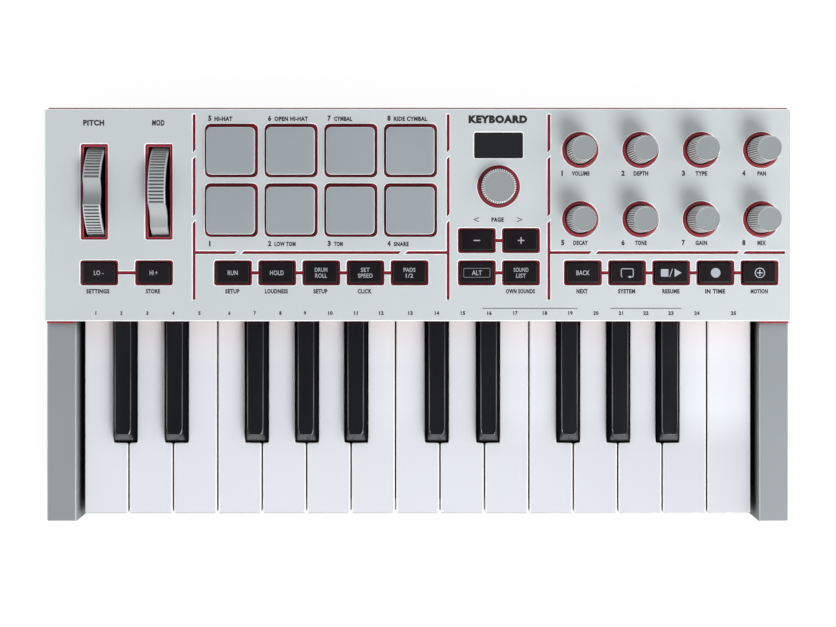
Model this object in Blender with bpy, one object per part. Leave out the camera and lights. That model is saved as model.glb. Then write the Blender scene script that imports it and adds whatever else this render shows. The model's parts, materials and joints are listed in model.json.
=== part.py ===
"""Compact 25-key MIDI controller keyboard, built as separate pieces.

Metres, +Z up. The origin is on the table, at the centre of the footprint.
-Y is the player's side (front of the keys), +Y is the rear with the sockets.
All sizes below are millimetres and are turned into metres when a mesh is made.
"""

import math

import bpy
from mathutils import Vector
from mathutils.geometry import delaunay_2d_cdt

for old in list(bpy.data.objects):
    bpy.data.objects.remove(old, do_unlink=True)

MM = 0.001


def spaced(first, pitch, count):
    return [first + pitch * i for i in range(count)]


# ---------------------------------------------------------------- case, plate and panel
WIDTH = 350.0
SIDE_X = WIDTH / 2
CASE_FRONT, CASE_REAR = -97.5, 97.1
CASE_BOTTOM, CASE_FLOOR, CASE_RIM = 2.5, 5.0, 33.6  # underside, inside floor, upper edge
WALL = 2.5
CHEEK_INNER = 161.2  # x of the inner face of each end cheek
REAR_CORNER_R, FRONT_CORNER = 1.2, 0.6
ACCENT_BOTTOM, ACCENT_TOP = 33.9, 35.5  # coloured plate between case and top panel
PANEL_BOTTOM, PANEL_TOP = 35.8, 38.0
PANEL_FRONT = -2.8

# ---------------------------------------------------------------- controls
PAD_Y = [49.1, 77.05]
PADS = [(x, y) for x in spaced(-87.35, 28.0, 4) for y in PAD_Y]
PAD_CUT, PAD_HOLE, PAD_SIZE = 24.9, 23.3, 22.7  # panel cut, accent plate hole, pad
PAD_TOP = 40.4

BUTTON_CUT = (17.7, 11.7)  # window in the top panel
BUTTON_HOLE = (15.9, 10.0)  # hole in the accent plate
BUTTON_CAP = (15.3, 9.4)
BUTTON_FLANGE = (17.4, 11.4)
BUTTON_TOP = 38.6
BUTTON_PITCH = 20.7
ROW_LOW, ROW_HIGH = 19.9, 35.05
NAV_X = spaced(27.7, BUTTON_PITCH, 2)
# x of each button, y of the row, button names from left to right
BUTTON_ROWS = [
    ([-149.4, -123.7], ROW_LOW, ("octave_down", "octave_up")),
    (
        spaced(-86.65, BUTTON_PITCH, 5),
        ROW_LOW,
        ("arpeggiator", "latch", "note_repeat", "tap_tempo", "pad_bank"),
    ),
    (
        spaced(77.45, BUTTON_PITCH, 5),
        ROW_LOW,
        ("undo", "loop", "play_stop", "record", "overdub"),
    ),
    (NAV_X, ROW_HIGH, ("minus", "plus")),
    (NAV_X, ROW_LOW, ("shift", "preset")),
]
BUTTONS = {
    f"button_{name}": (x, y) for xs, y, names in BUTTON_ROWS for x, name in zip(xs, names)
}

KNOBS = [(x, y) for y in (77.5, 45.0) for x in spaced(76.2, 28.3, 4)]
KNOB_CUT_R, KNOB_BASE_R, KNOB_TOP_R = 8.6, 6.3, 5.8
KNOB_BOTTOM, KNOB_TOP = 36.0, 53.5
STEM_R, SOCKET_R = 3.0, 3.35
STEM_HOLE_R = 3.8  # in the accent plate

ENCODER = (37.9, 60.4)
ENCODER_CUT_R, ENCODER_R = 9.9, 8.4
ENCODER_BOTTOM, ENCODER_TOP = 36.6, 43.0

WINDOW_X, WINDOW_Y = 37.9, 79.5

WHEEL_Y, WHEEL_Z, WHEEL_R, WHEEL_THICKNESS = 57.9, 21.2, 24.5, 8.6
# name, x, then degrees from straight up, positive to the front: dimple, rear end, front end
WHEELS = [
    ("pitch_wheel", -151.7, 0.0, -88.0, 88.0),
    ("mod_wheel", -121.4, 28.5, -60.0, 116.0),
]
WHEEL_CUT = (12.75, 44.8)  # in the top panel
WHEEL_HOLE = (10.2, 42.4)  # in the accent plate

# ---------------------------------------------------------------- keys
PITCH, KEY_GAP = 21.2, 0.8
WHITE_NAMES = [letter + octave for octave in "12" for letter in "cdefgab"] + ["c3"]
KEYS_LEFT = -len(WHITE_NAMES) / 2 * PITCH
WHITE_X = [KEYS_LEFT + (i + 0.5) * PITCH for i in range(len(WHITE_NAMES))]
KEY_FRONT, KEY_REAR = -94.8, 3.0
RELIEF_FRONT = -61.9  # where a white key narrows to clear the black keys
KEY_TOP, KEY_BOTTOM = 27.0, 15.5
KEY_WALL = 1.4
BLACK_WIDTH, RELIEF_WIDTH = 10.2, 11.2
BLACK_FRONT, BLACK_TOP, BLACK_BOTTOM = -61.3, 33.4, 18.0
PIVOT_Y, PIVOT_Z, ROD_R, HOOK_R = 6.5, 21.0, 1.5, 1.8
TAIL_FRONT, TAIL_REAR, TAIL_TOP = 2.2, 9.7, 24.2
# name, white-key boundary it sits on (0 = left end of the octave), offset from it
BLACK_SHIFTS = (
    ("cs", 1, -1.5),
    ("ds", 2, 1.7),
    ("fs", 4, -2.5),
    ("gs", 5, 0.2),
    ("as", 6, 2.5),
)
# name, boundary counted from the left end of the keyboard, x of the centre
BLACK_KEYS = [
    (f"{name}{octave + 1}", octave * 7 + edge, KEYS_LEFT + (octave * 7 + edge) * PITCH + shift)
    for octave in (0, 1)
    for name, edge, shift in BLACK_SHIFTS
]

# ---------------------------------------------------------------- rear sockets
FOOTSWITCH_X, MIDI_X, USB_X = 19.5, 45.0, 70.0


# ---------------------------------------------------------------- materials
def material(name, colour, roughness, metallic=0.0):
    made = bpy.data.materials.new(name)
    made.use_nodes = True
    inputs = made.node_tree.nodes["Principled BSDF"].inputs
    inputs["Base Color"].default_value = (*colour, 1.0)
    inputs["Roughness"].default_value = roughness
    inputs["Metallic"].default_value = metallic
    made.diffuse_color = (*colour, 1.0)
    return made


PANEL_WHITE = material("white_panel_plastic", colour=(0.66, 0.70, 0.72), roughness=0.45)
PLATE_RED = material("red_plate_plastic", colour=(0.38, 0.02, 0.03), roughness=0.4)
CASE_GREY = material("grey_case_plastic", colour=(0.33, 0.36, 0.38), roughness=0.5)
KEY_WHITE = material("white_key_plastic", colour=(0.78, 0.80, 0.84), roughness=0.25)
KEY_BLACK = material("black_key_plastic", colour=(0.010, 0.011, 0.014), roughness=0.15)
PAD_GREY = material("pad_silicone", colour=(0.34, 0.37, 0.40), roughness=0.7)
BUTTON_BLACK = material("button_plastic", colour=(0.018, 0.020, 0.026), roughness=0.45)
KNOB_GREY = material("knob_plastic", colour=(0.34, 0.37, 0.39), roughness=0.5)
WHEEL_GREY = material("wheel_plastic", colour=(0.42, 0.45, 0.46), roughness=0.4)
LENS = material("display_acrylic", colour=(0.02, 0.02, 0.024), roughness=0.08)
FRAME_DARK = material("frame_plastic", colour=(0.03, 0.03, 0.032), roughness=0.6)
BOARD_GREEN = material("circuit_board", colour=(0.02, 0.12, 0.05), roughness=0.5)
STEEL = material("shaft_steel", colour=(0.6, 0.6, 0.6), roughness=0.3, metallic=1.0)


# ---------------------------------------------------------------- objects and booleans
ROOT = bpy.data.objects.new("midi_keyboard", None)
bpy.context.scene.collection.objects.link(ROOT)


def make(name, solid, mat=None, pivot=(0.0, 0.0, 0.0)):
    """An object from a solid, a pair of (points in millimetres, faces), with origin at pivot.

    Only pieces have a material and a parent; boolean helpers have neither.
    """
    verts, faces = solid
    origin = Vector(pivot)
    mesh = bpy.data.meshes.new(name)
    mesh.from_pydata([tuple((Vector(point) - origin) * MM) for point in verts], [], faces)
    mesh.update()
    obj = bpy.data.objects.new(name, mesh)
    bpy.context.scene.collection.objects.link(obj)
    obj.location = origin * MM
    if mat is not None:
        mesh.materials.append(mat)
        obj.parent = ROOT
    return obj


def boolean(target, operation, helper):
    helper.hide_render = True
    helper.display_type = "WIRE"
    modifier = target.modifiers.new(operation.lower(), "BOOLEAN")
    modifier.operation = operation
    modifier.solver = "EXACT"
    modifier.object = helper


def add(target, helper_name, solids):
    boolean(target, "UNION", make(helper_name, join(solids)))


def cut(target, helper_name, solids):
    boolean(target, "DIFFERENCE", make(helper_name, join(solids)))


# ---------------------------------------------------------------- outlines, counter-clockwise
def circle(x, y, radius, count, start=0.0):
    angles = [start + 2 * math.pi * i / count for i in range(count)]
    return [(x + radius * math.cos(angle), y + radius * math.sin(angle)) for angle in angles]


def arc(x, y, radius, start, end, steps):
    """Points from angle start to end, in degrees, both ends included."""
    angles = [math.radians(start + (end - start) * i / steps) for i in range(steps + 1)]
    return [(x + radius * math.cos(angle), y + radius * math.sin(angle)) for angle in angles]


def rectangle(x0, x1, y0, y1):
    return [(x0, y0), (x1, y0), (x1, y1), (x0, y1)]


def rounded(x, y, width, height, radius, steps):
    """A rectangle centred on (x, y) with rounded corners."""
    dx, dy = width / 2 - radius, height / 2 - radius
    return (
        arc(x + dx, y - dy, radius, -90, 0, steps)
        + arc(x + dx, y + dy, radius, 0, 90, steps)
        + arc(x - dx, y + dy, radius, 90, 180, steps)
        + arc(x - dx, y - dy, radius, 180, 270, steps)
    )


def rear_corners():
    """The two rear corners that the case and the top panel share, right one first."""
    x, y = SIDE_X - REAR_CORNER_R, CASE_REAR - REAR_CORNER_R
    return arc(x, y, REAR_CORNER_R, 0, 90, 2) + arc(-x, y, REAR_CORNER_R, 90, 180, 2)


def at(outline, z):
    return [(point[0], point[1], z) for point in outline]


def circles(x, y, count, stations):
    """Stacked circles from (radius, z) stations."""
    return [at(circle(x, y, radius, count), z) for radius, z in stations]


def rounded_levels(x, y, steps, stations):
    """Stacked rounded rectangles from (width, height, corner radius, z) stations."""
    return [
        at(rounded(x, y, width, height, radius, steps), z)
        for width, height, radius, z in stations
    ]


# ---------------------------------------------------------------- faces
def fill(loops):
    """Triangles, as indices into the joined loops, of an outline with holes, facing up."""
    points = [(point[0], point[1]) for loop in loops for point in loop]
    edges, start = [], 0
    for loop in loops:
        count = len(loop)
        edges += [(start + i, start + (i + 1) % count) for i in range(count)]
        start += count
    result = delaunay_2d_cdt([Vector(point) for point in points], edges, [], 0, 1e-6)
    source = [ids[0] for ids in result[3]]
    triangles = []
    for face in result[2]:
        i, j, k = (source[corner] for corner in face)
        (ax, ay), (bx, by), (cx, cy) = points[i], points[j], points[k]
        mid_x, mid_y = (ax + bx + cx) / 3, (ay + by + cy) / 3
        # a triangle belongs if a ray from its middle crosses an odd number of edges
        inside = False
        for first, second in edges:
            (x0, y0), (x1, y1) = points[first], points[second]
            if (y0 > mid_y) != (y1 > mid_y):
                if mid_x < x0 + (mid_y - y0) * (x1 - x0) / (y1 - y0):
                    inside = not inside
        if inside:
            turn = (bx - ax) * (cy - ay) - (by - ay) * (cx - ax)
            triangles.append((i, j, k) if turn > 0 else (i, k, j))
    return triangles


def lid(loops, base=0, up=True):
    """Flat triangles over loops whose first point has the index base."""
    if up:
        return [(i + base, j + base, k + base) for i, j, k in fill(loops)]
    return [(i + base, k + base, j + base) for i, j, k in fill(loops)]


def band(start, count, lift):
    """Quads from the ring at index start to the ring that comes lift indices later."""
    pairs = [(start + i, start + (i + 1) % count) for i in range(count)]
    return [(a, b, b + lift, a + lift) for a, b in pairs]


def stack_faces(levels, base=0):
    """Sides and top of stacked loops of equal length."""
    count = len(levels[0])
    faces = []
    for k in range(len(levels) - 1):
        faces += band(base + k * count, count, count)
    return faces + lid([levels[-1]], base + (len(levels) - 1) * count)


# ---------------------------------------------------------------- solids
def plate(outline, holes, bottom, top):
    """A flat plate with straight-sided holes."""
    loops = [outline] + [hole[::-1] for hole in holes]
    flat = [point for loop in loops for point in loop]
    faces = lid(loops, len(flat)) + lid(loops, up=False)
    start = 0
    for loop in loops:
        faces += band(start, len(loop), len(flat))
        start += len(loop)
    return at(flat, bottom) + at(flat, top), faces


def box(x0, x1, y0, y1, z0, z1):
    return plate(rectangle(x0, x1, y0, y1), [], z0, z1)


def centred_box(x, y, width, depth, z0, z1):
    return box(x - width / 2, x + width / 2, y - depth / 2, y + depth / 2, z0, z1)


def loft(levels):
    """A solid through stacked loops of equal length, from the bottom up."""
    verts = [point for level in levels for point in level]
    return verts, stack_faces(levels) + lid([levels[0]], up=False)


def shell(outer, inner):
    """A cover open underneath: outer and inner loops, each stacked from the bottom up."""
    verts = [point for level in outer + inner for point in level]
    inner_base = len(outer) * len(outer[0])
    faces = stack_faces(outer)
    faces += [face[::-1] for face in stack_faces(inner, inner_base)]
    rim = list(range(len(outer[0]))) + list(range(inner_base, inner_base + len(inner[0])))
    faces += [(rim[i], rim[k], rim[j]) for i, j, k in fill([outer[0], inner[0]])]
    return verts, faces


def block_with_socket(outline, hole, bottom, top, hole_bottom):
    """A block with a blind hole in its top."""
    verts = at(outline, bottom) + at(outline, top) + at(hole, top) + at(hole, hole_bottom)
    outer_count, hole_count = len(outline), len(hole)
    faces = band(0, outer_count, outer_count)
    faces += band(2 * outer_count, hole_count, hole_count)
    faces += lid([outline], up=False)
    faces += lid([hole], 2 * outer_count + hole_count)
    faces += lid([outline, hole], outer_count)
    return verts, faces


def bar_x(y, z, radius, count, x0, x1):
    """A round bar along X, with a flat facing straight up when count is even."""
    ring = circle(y, z, radius, count, start=math.pi / count)
    verts = [(x0, *point) for point in ring] + [(x1, *point) for point in ring]
    faces = band(0, count, count)
    faces.append(tuple(reversed(range(count))))
    faces.append(tuple(range(count, 2 * count)))
    return verts, faces


def prism_x(profile, x0, x1):
    """A counter-clockwise profile of (y, z) points extruded along X."""
    count = len(profile)
    verts = [(x0, *point) for point in profile] + [(x1, *point) for point in profile]
    return verts, band(0, count, count) + lid([profile], up=False) + lid([profile], count)


def swap_axes(solid, order):
    """The solid with two axes exchanged, its faces turned to keep pointing outward."""
    verts, faces = solid
    swapped = [tuple(point[axis] for axis in order) for point in verts]
    return swapped, [face[::-1] for face in faces]


def join(solids):
    verts, faces = [], []
    for solid_verts, solid_faces in solids:
        shift = len(verts)
        verts += solid_verts
        faces += [tuple(i + shift for i in face) for face in solid_faces]
    return verts, faces


# ---------------------------------------------------------------- dividing slots in the panel
HALF_SLOT = 1.3 / 2
DIVIDER_X = [-104.9, 14.25, 61.5]
# rear and front end of the rearmost, middle and front slot on each line
DIVIDER_REAR, DIVIDER_MIDDLE, DIVIDER_FRONT = (94.2, 77.0), (73.8, 46.9), (43.8, 7.25)
BRANCH_Y = 29.4
# ends of the left and right side branches of each front slot
BRANCH_ENDS = [(None, -85.3), (-5.35, None), (None, 81.1)]
# left end, right end, whether the right end is slanted
LEVEL_SLOTS = [(-82.2, -8.4, True), (84.0, 150.35, True), (153.2, 172.3, False)]


def upright_slot(x, rear, front, slanted_rear):
    """A slot along Y. A slanted end lies further to the rear on its right side."""
    slant = HALF_SLOT if slanted_rear else 0.0
    return [
        (x - HALF_SLOT, front - HALF_SLOT),
        (x + HALF_SLOT, front + HALF_SLOT),
        (x + HALF_SLOT, rear + slant),
        (x - HALF_SLOT, rear - slant),
    ]


def level_slot(x0, x1, slanted_right):
    """A slot along X with a slanted left end."""
    slant = HALF_SLOT if slanted_right else 0.0
    return [
        (x0 - HALF_SLOT, BRANCH_Y - HALF_SLOT),
        (x1 - slant, BRANCH_Y - HALF_SLOT),
        (x1 + slant, BRANCH_Y + HALF_SLOT),
        (x0 + HALF_SLOT, BRANCH_Y + HALF_SLOT),
    ]


def branched_slot(x, rear, front, left_end, right_end):
    """A slot along Y with a side branch towards each end that is given."""
    left, right = x - HALF_SLOT, x + HALF_SLOT
    branch_front, branch_rear = BRANCH_Y - HALF_SLOT, BRANCH_Y + HALF_SLOT
    points = [(left, front), (right, front)]
    if right_end is not None:
        points += [
            (right, branch_front),
            (right_end - HALF_SLOT, branch_front),
            (right_end + HALF_SLOT, branch_rear),
            (right, branch_rear),
        ]
    points += [(right, rear + HALF_SLOT), (left, rear - HALF_SLOT)]
    if left_end is not None:
        points += [
            (left, branch_rear),
            (left_end + HALF_SLOT, branch_rear),
            (left_end - HALF_SLOT, branch_front),
            (left, branch_front),
        ]
    return points


def dividers():
    slots = [level_slot(*entry) for entry in LEVEL_SLOTS]
    for x, ends in zip(DIVIDER_X, BRANCH_ENDS):
        slots.append(upright_slot(x, *DIVIDER_REAR, slanted_rear=False))
        slots.append(upright_slot(x, *DIVIDER_MIDDLE, slanted_rear=True))
        slots.append(branched_slot(x, *DIVIDER_FRONT, *ends))
    return slots


# ---------------------------------------------------------------- top panel
def button_row_cut(xs, y):
    """One opening: a row of windows with clipped corners, joined by narrow link slots."""
    width, height = BUTTON_CUT
    corner, half_link = 1.1, 0.75
    dx, dy = width / 2 - corner, height / 2 - corner
    front, rear = [], []
    for i, x in enumerate(xs):
        front += arc(x - dx, y - dy, corner, 180, 270, 1)
        front += arc(x + dx, y - dy, corner, 270, 360, 1)
        if i < len(xs) - 1:
            front += [(x + width / 2, y - half_link), (xs[i + 1] - width / 2, y - half_link)]
    for i in reversed(range(len(xs))):
        x = xs[i]
        rear += arc(x + dx, y + dy, corner, 0, 90, 1)
        rear += arc(x - dx, y + dy, corner, 90, 180, 1)
        if i > 0:
            rear += [(x - width / 2, y + half_link), (xs[i - 1] + width / 2, y + half_link)]
    return front + rear


def build_top_panel():
    holes = [button_row_cut(xs, y) for xs, y, _ in BUTTON_ROWS]
    holes += [rounded(x, y, PAD_CUT, PAD_CUT, 2.5, 2) for x, y in PADS]
    holes += [circle(x, y, KNOB_CUT_R, 18) for x, y in KNOBS]
    holes.append(circle(*ENCODER, ENCODER_CUT_R, 20))
    holes += [rounded(x, WHEEL_Y, *WHEEL_CUT, 0.8, 1) for _, x, *_ in WHEELS]
    holes.append(rounded(WINDOW_X, WINDOW_Y, 23.0, 11.9, 0.5, 1))
    holes += dividers()
    corner_x, corner_y = SIDE_X - FRONT_CORNER, PANEL_FRONT + FRONT_CORNER
    outline = (
        arc(corner_x, corner_y, FRONT_CORNER, -90, 0, 1)
        + rear_corners()
        + arc(-corner_x, corner_y, FRONT_CORNER, 180, 270, 1)
    )
    make("top_panel", plate(outline, holes, PANEL_BOTTOM, PANEL_TOP), PANEL_WHITE)


# ---------------------------------------------------------------- coloured plate under it
def build_accent_plate():
    holes = [rounded(x, y, *BUTTON_HOLE, 0.5, 1) for x, y in BUTTONS.values()]
    holes += [rounded(x, y, PAD_HOLE, PAD_HOLE, 2.2, 2) for x, y in PADS]
    holes += [circle(x, y, STEM_HOLE_R, 12) for x, y in KNOBS + [ENCODER]]
    holes += [rounded(x, WHEEL_Y, *WHEEL_HOLE, 0.4, 1) for _, x, *_ in WHEELS]
    holes.append(rounded(WINDOW_X, WINDOW_Y, 25.2, 14.1, 0.5, 1))
    side, rear, chamfer = SIDE_X - 0.4, 97.5, 1.0
    # the front edge steps back a little between the cheeks
    step_x, cheek_front, middle_front = CHEEK_INNER + 0.2, -3.4, -2.9
    outline = [
        (-side, cheek_front),
        (-step_x, cheek_front),
        (-step_x, middle_front),
        (step_x, middle_front),
        (step_x, cheek_front),
        (side, cheek_front),
        (side, rear - chamfer),
        (side - chamfer, rear),
        (-side + chamfer, rear),
        (-side, rear - chamfer),
    ]
    accent = make("accent_plate", plate(outline, holes, ACCENT_BOTTOM, ACCENT_TOP), PLATE_RED)

    # a skirt hangs over the white keys, with a notch for each black key
    skirt_end = CHEEK_INNER - 0.8
    half_notch = BLACK_WIDTH / 2 + 0.8
    ends = [-skirt_end]
    for _, _, x in BLACK_KEYS:
        ends += [x - half_notch, x + half_notch]
    ends.append(skirt_end)
    skirt = [box(x0, x1, -2.7, -1.3, 28.2, 34.7) for x0, x1 in zip(ends[0::2], ends[1::2])]
    add(accent, "accent_skirt_tool", skirt)


# ---------------------------------------------------------------- display, pads and buttons
def build_display_window():
    shoulder = 35.45
    stations = [
        (24.5, 13.4, 0.5, 34.0),
        (24.5, 13.4, 0.5, shoulder),
        (22.4, 11.3, 0.4, shoulder),
        (22.4, 11.3, 0.4, 37.6),
    ]
    make("display_window", loft(rounded_levels(WINDOW_X, WINDOW_Y, 1, stations)), LENS)


def build_pad_sheet():
    """All pads are one moulded silicone sheet."""
    bevel = 0.6
    stations = [
        (PAD_SIZE, PAD_SIZE, 2.1, 33.0),
        (PAD_SIZE, PAD_SIZE, 2.1, PAD_TOP - bevel),
        (PAD_SIZE - 2 * bevel, PAD_SIZE - 2 * bevel, 1.6, PAD_TOP),
    ]
    reach = 13.2  # from the outer pad centres to the edge of the sheet
    x0, x1 = PADS[0][0] - reach, PADS[-1][0] + reach
    y0, y1 = PAD_Y[0] - reach, PAD_Y[1] + reach
    bottom, top = 32.4, 33.6
    sheet = make(
        "pad_sheet",
        box(x0, x1, y0, y1, bottom, top),
        PAD_GREY,
        pivot=((x0 + x1) / 2, (y0 + y1) / 2, bottom),
    )
    add(sheet, "pad_tool", [loft(rounded_levels(x, y, 2, stations)) for x, y in PADS])


def build_buttons():
    width, height = BUTTON_CAP
    bevel, flange_top = 0.3, 33.6
    stations = [
        (*BUTTON_FLANGE, 0.8, 32.0),
        (*BUTTON_FLANGE, 0.8, flange_top),
        (width, height, 0.5, flange_top),
        (width, height, 0.5, BUTTON_TOP - bevel),
        (width - 2 * bevel, height - 2 * bevel, 0.4, BUTTON_TOP),
    ]
    for name, (x, y) in BUTTONS.items():
        solid = loft(rounded_levels(x, y, 1, stations))
        make(name, solid, BUTTON_BLACK, pivot=(x, y, BUTTON_TOP))


# ---------------------------------------------------------------- knobs and encoder
def build_knobs():
    bevel = 0.5
    stations = [
        (STEM_R, 29.2),
        (STEM_R, KNOB_BOTTOM),
        (KNOB_BASE_R, KNOB_BOTTOM),
        (KNOB_TOP_R, KNOB_TOP - bevel),
        (KNOB_TOP_R - bevel, KNOB_TOP),
    ]
    for number, (x, y) in enumerate(KNOBS, start=1):
        solid = loft(circles(x, y, 18, stations))
        make(f"knob_{number}", solid, KNOB_GREY, pivot=(x, y, KNOB_BOTTOM))


def build_encoder():
    """A steel shaft and the hollow cap that sits over it."""
    shaft_bottom, shaft_top, socket_top = 29.4, 41.0, 41.4
    shaft = loft(circles(*ENCODER, 12, [(STEM_R, shaft_bottom), (STEM_R, shaft_top)]))
    make("encoder_shaft", shaft, STEEL, pivot=(*ENCODER, shaft_bottom))
    bevel = 0.6
    outer = [
        (ENCODER_R, ENCODER_BOTTOM),
        (ENCODER_R, ENCODER_TOP - bevel),
        (ENCODER_R - bevel, ENCODER_TOP),
    ]
    inner = [(SOCKET_R, ENCODER_BOTTOM), (SOCKET_R, socket_top)]
    cap = shell(circles(*ENCODER, 20, outer), circles(*ENCODER, 12, inner))
    make("encoder_knob", cap, KNOB_GREY, pivot=(*ENCODER, ENCODER_BOTTOM))


# ---------------------------------------------------------------- pitch and modulation wheels
def wheel_point(radius, degrees):
    """A (y, z) point at an angle from straight up, positive to the front."""
    angle = math.radians(degrees)
    return (WHEEL_Y - radius * math.sin(angle), WHEEL_Z + radius * math.cos(angle))


def wheel_profile(dimple, rear_end, front_end):
    """Sector outline in (y, z), with a thumb dip centred on the dimple angle."""
    rim_steps, hub_steps = 28, 8
    dip_half_angle, dip_depth = 14.5, 1.5
    hub_radius, hub_inset = 7.0, 12  # the inset is in degrees, past each end of the rim
    sweep = front_end - rear_end
    points = []
    for i in range(rim_steps + 1):
        angle = rear_end + sweep * i / rim_steps
        away = abs(angle - dimple)
        radius = WHEEL_R
        if away < dip_half_angle:
            radius -= dip_depth * 0.5 * (1 + math.cos(math.pi * away / dip_half_angle))
        points.append(wheel_point(radius, angle))
    # back round the hub, from the front end of the rim to the rear end
    hub_sweep = 360 - sweep - 2 * hub_inset
    for i in range(hub_steps + 1):
        angle = front_end + hub_inset + hub_sweep * i / hub_steps
        points.append(wheel_point(hub_radius, angle))
    return points


def build_wheels():
    axle_radius, axle_reach = 3.0, 8.8
    for name, x, *angles in WHEELS:
        half = WHEEL_THICKNESS / 2
        disc = prism_x(wheel_profile(*angles), x - half, x + half)
        wheel = make(name, disc, WHEEL_GREY, pivot=(x, WHEEL_Y, WHEEL_Z))
        axle = bar_x(WHEEL_Y, WHEEL_Z, axle_radius, 16, x - axle_reach, x + axle_reach)
        add(wheel, f"{name}_axle_tool", [axle])


# ---------------------------------------------------------------- keys
def make_hook_cutter():
    """Keyhole profile: a round seat for the pivot rod, open underneath so a key clips on."""
    half_mouth, mouth_depth = 1.25, 8
    half_angle = math.degrees(math.asin(half_mouth / HOOK_R))
    profile = arc(PIVOT_Y, PIVOT_Z, HOOK_R, -90 + half_angle, 270 - half_angle, 9)
    profile += [
        (PIVOT_Y - half_mouth, PIVOT_Z - mouth_depth),
        (PIVOT_Y + half_mouth, PIVOT_Z - mouth_depth),
    ]
    return make("key_hook_tool", prism_x(profile, -170, 170))


def add_tail(key, helper_name, span, bottom, hook):
    """A block at the rear of a key, with the seat for the pivot rod cut into it."""
    add(key, helper_name, [box(*span, TAIL_FRONT, TAIL_REAR, bottom, TAIL_TOP)])
    boolean(key, "DIFFERENCE", hook)


def white_outline(x0, x1, left, right, inset=0.0, corner=0.0):
    """Footprint of a white key. left and right are the x of the reliefs, or None."""
    front, rear, relief = KEY_FRONT + inset, KEY_REAR - inset, RELIEF_FRONT - inset
    if corner:
        points = arc(x0 + corner, front + corner, corner, 180, 270, 2)
        points += arc(x1 - corner, front + corner, corner, 270, 360, 2)
    else:
        points = [(x0 + inset, front), (x1 - inset, front)]
    if right is not None:
        points += [(x1 - inset, relief), (right - inset, relief), (right - inset, rear)]
    else:
        points += [(x1 - inset, rear)]
    if left is not None:
        points += [(left + inset, rear), (left + inset, relief), (x0 + inset, relief)]
    else:
        points += [(x0 + inset, rear)]
    return points


def build_white_keys(hook):
    """Makes the white keys and returns the (x0, x1) span of each tail."""
    top_thickness, tail_inset = 2.0, 1.6
    black_at = {edge: x for _, edge, x in BLACK_KEYS}
    spans = []
    for i, note in enumerate(WHITE_NAMES):
        x0 = KEYS_LEFT + i * PITCH + KEY_GAP / 2
        x1 = x0 + PITCH - KEY_GAP
        left = black_at[i] + RELIEF_WIDTH / 2 if i in black_at else None
        right = black_at[i + 1] - RELIEF_WIDTH / 2 if i + 1 in black_at else None
        outer = white_outline(x0, x1, left, right, corner=1.0)
        inner = white_outline(x0, x1, left, right, inset=KEY_WALL)
        solid = shell(
            [at(outer, KEY_BOTTOM), at(outer, KEY_TOP)],
            [at(inner, KEY_BOTTOM), at(inner, KEY_TOP - top_thickness)],
        )
        pivot = ((x0 + x1) / 2, PIVOT_Y, PIVOT_Z)
        key = make(f"white_key_{note}", solid, KEY_WHITE, pivot)
        rear_left = x0 if left is None else left
        rear_right = x1 if right is None else right
        span = (rear_left + tail_inset, rear_right - tail_inset)
        add_tail(key, f"white_tail_{note}_tool", span, bottom=18.0, hook=hook)
        spans.append(span)
    return spans


def black_level(x, half, front, rear, z, chamfer):
    """A rectangle with its two front corners cut off."""
    return [
        (x - half, rear, z),
        (x - half, front + chamfer, z),
        (x - half + chamfer, front, z),
        (x + half - chamfer, front, z),
        (x + half, front + chamfer, z),
        (x + half, rear, z),
    ]


def build_black_keys(hook):
    """Makes the black keys and returns the (x0, x1) span of each tail."""
    half = BLACK_WIDTH / 2
    # half width, front y, rear y, z, corner chamfer
    stations = [
        (half, BLACK_FRONT, KEY_REAR, BLACK_BOTTOM, 0.8),
        (half, BLACK_FRONT, KEY_REAR, KEY_TOP - 0.5, 0.8),
        (4.1, -57.9, 1.6, 32.2, 0.8),
        (3.6, -55.6, 1.2, BLACK_TOP, 0.6),
    ]
    half_inner, half_tail = half - KEY_WALL, 3.5
    spans = []
    for note, _, x in BLACK_KEYS:
        inner = rectangle(x - half_inner, x + half_inner, BLACK_FRONT + KEY_WALL, 1.6)
        solid = shell(
            [black_level(x, *station) for station in stations],
            [at(inner, BLACK_BOTTOM), at(inner, KEY_TOP - 1.0)],
        )
        key = make(f"black_key_{note}", solid, KEY_BLACK, pivot=(x, PIVOT_Y, PIVOT_Z))
        span = (x - half_tail, x + half_tail)
        add_tail(key, f"black_tail_{note}_tool", span, bottom=18.6, hook=hook)
        spans.append(span)
    return spans


# ---------------------------------------------------------------- key frame with the pivot rod
def build_key_frame(tails):
    """tails are the spans of all the key tails, from left to right."""
    end_offset, half_rib, rod_overhang = 2.2, 0.8, 0.4
    part_bottom = 6.4  # sunk into the base, to fuse with it
    rib_x = [tails[0][0] - end_offset]
    rib_x += [(left[1] + right[0]) / 2 for left, right in zip(tails, tails[1:])]
    rib_x.append(tails[-1][1] + end_offset)
    frame = make("key_frame", box(-160.2, 160.2, -91.0, 10.9, 5.4, 7.4), FRAME_DARK)
    # a rib on each side of every tail, a low cross bar, and a post under each white key
    parts = [box(x - half_rib, x + half_rib, 3.8, 10.4, part_bottom, 24.0) for x in rib_x]
    parts.append(box(-159.4, 159.4, -76.0, -71.0, part_bottom, 9.8))
    parts += [box(x - 4.0, x + 4.0, -87.0, -83.5, part_bottom, 18.8) for x in WHITE_X]
    add(frame, "frame_rib_tool", parts)
    rod_ends = (rib_x[0] - rod_overhang, rib_x[-1] + rod_overhang)
    add(frame, "pivot_rod_tool", [bar_x(PIVOT_Y, PIVOT_Z, ROD_R, 10, *rod_ends)])


# ---------------------------------------------------------------- circuit boards
def encoder_body(x, y, width):
    """A rotary encoder's body, with the blind hole that its shaft turns in."""
    half = width / 2
    outline = rectangle(x - half, x + half, y - half, y + half)
    return block_with_socket(outline, circle(x, y, SOCKET_R, 12), 27.0, 33.3, 28.6)


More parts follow.
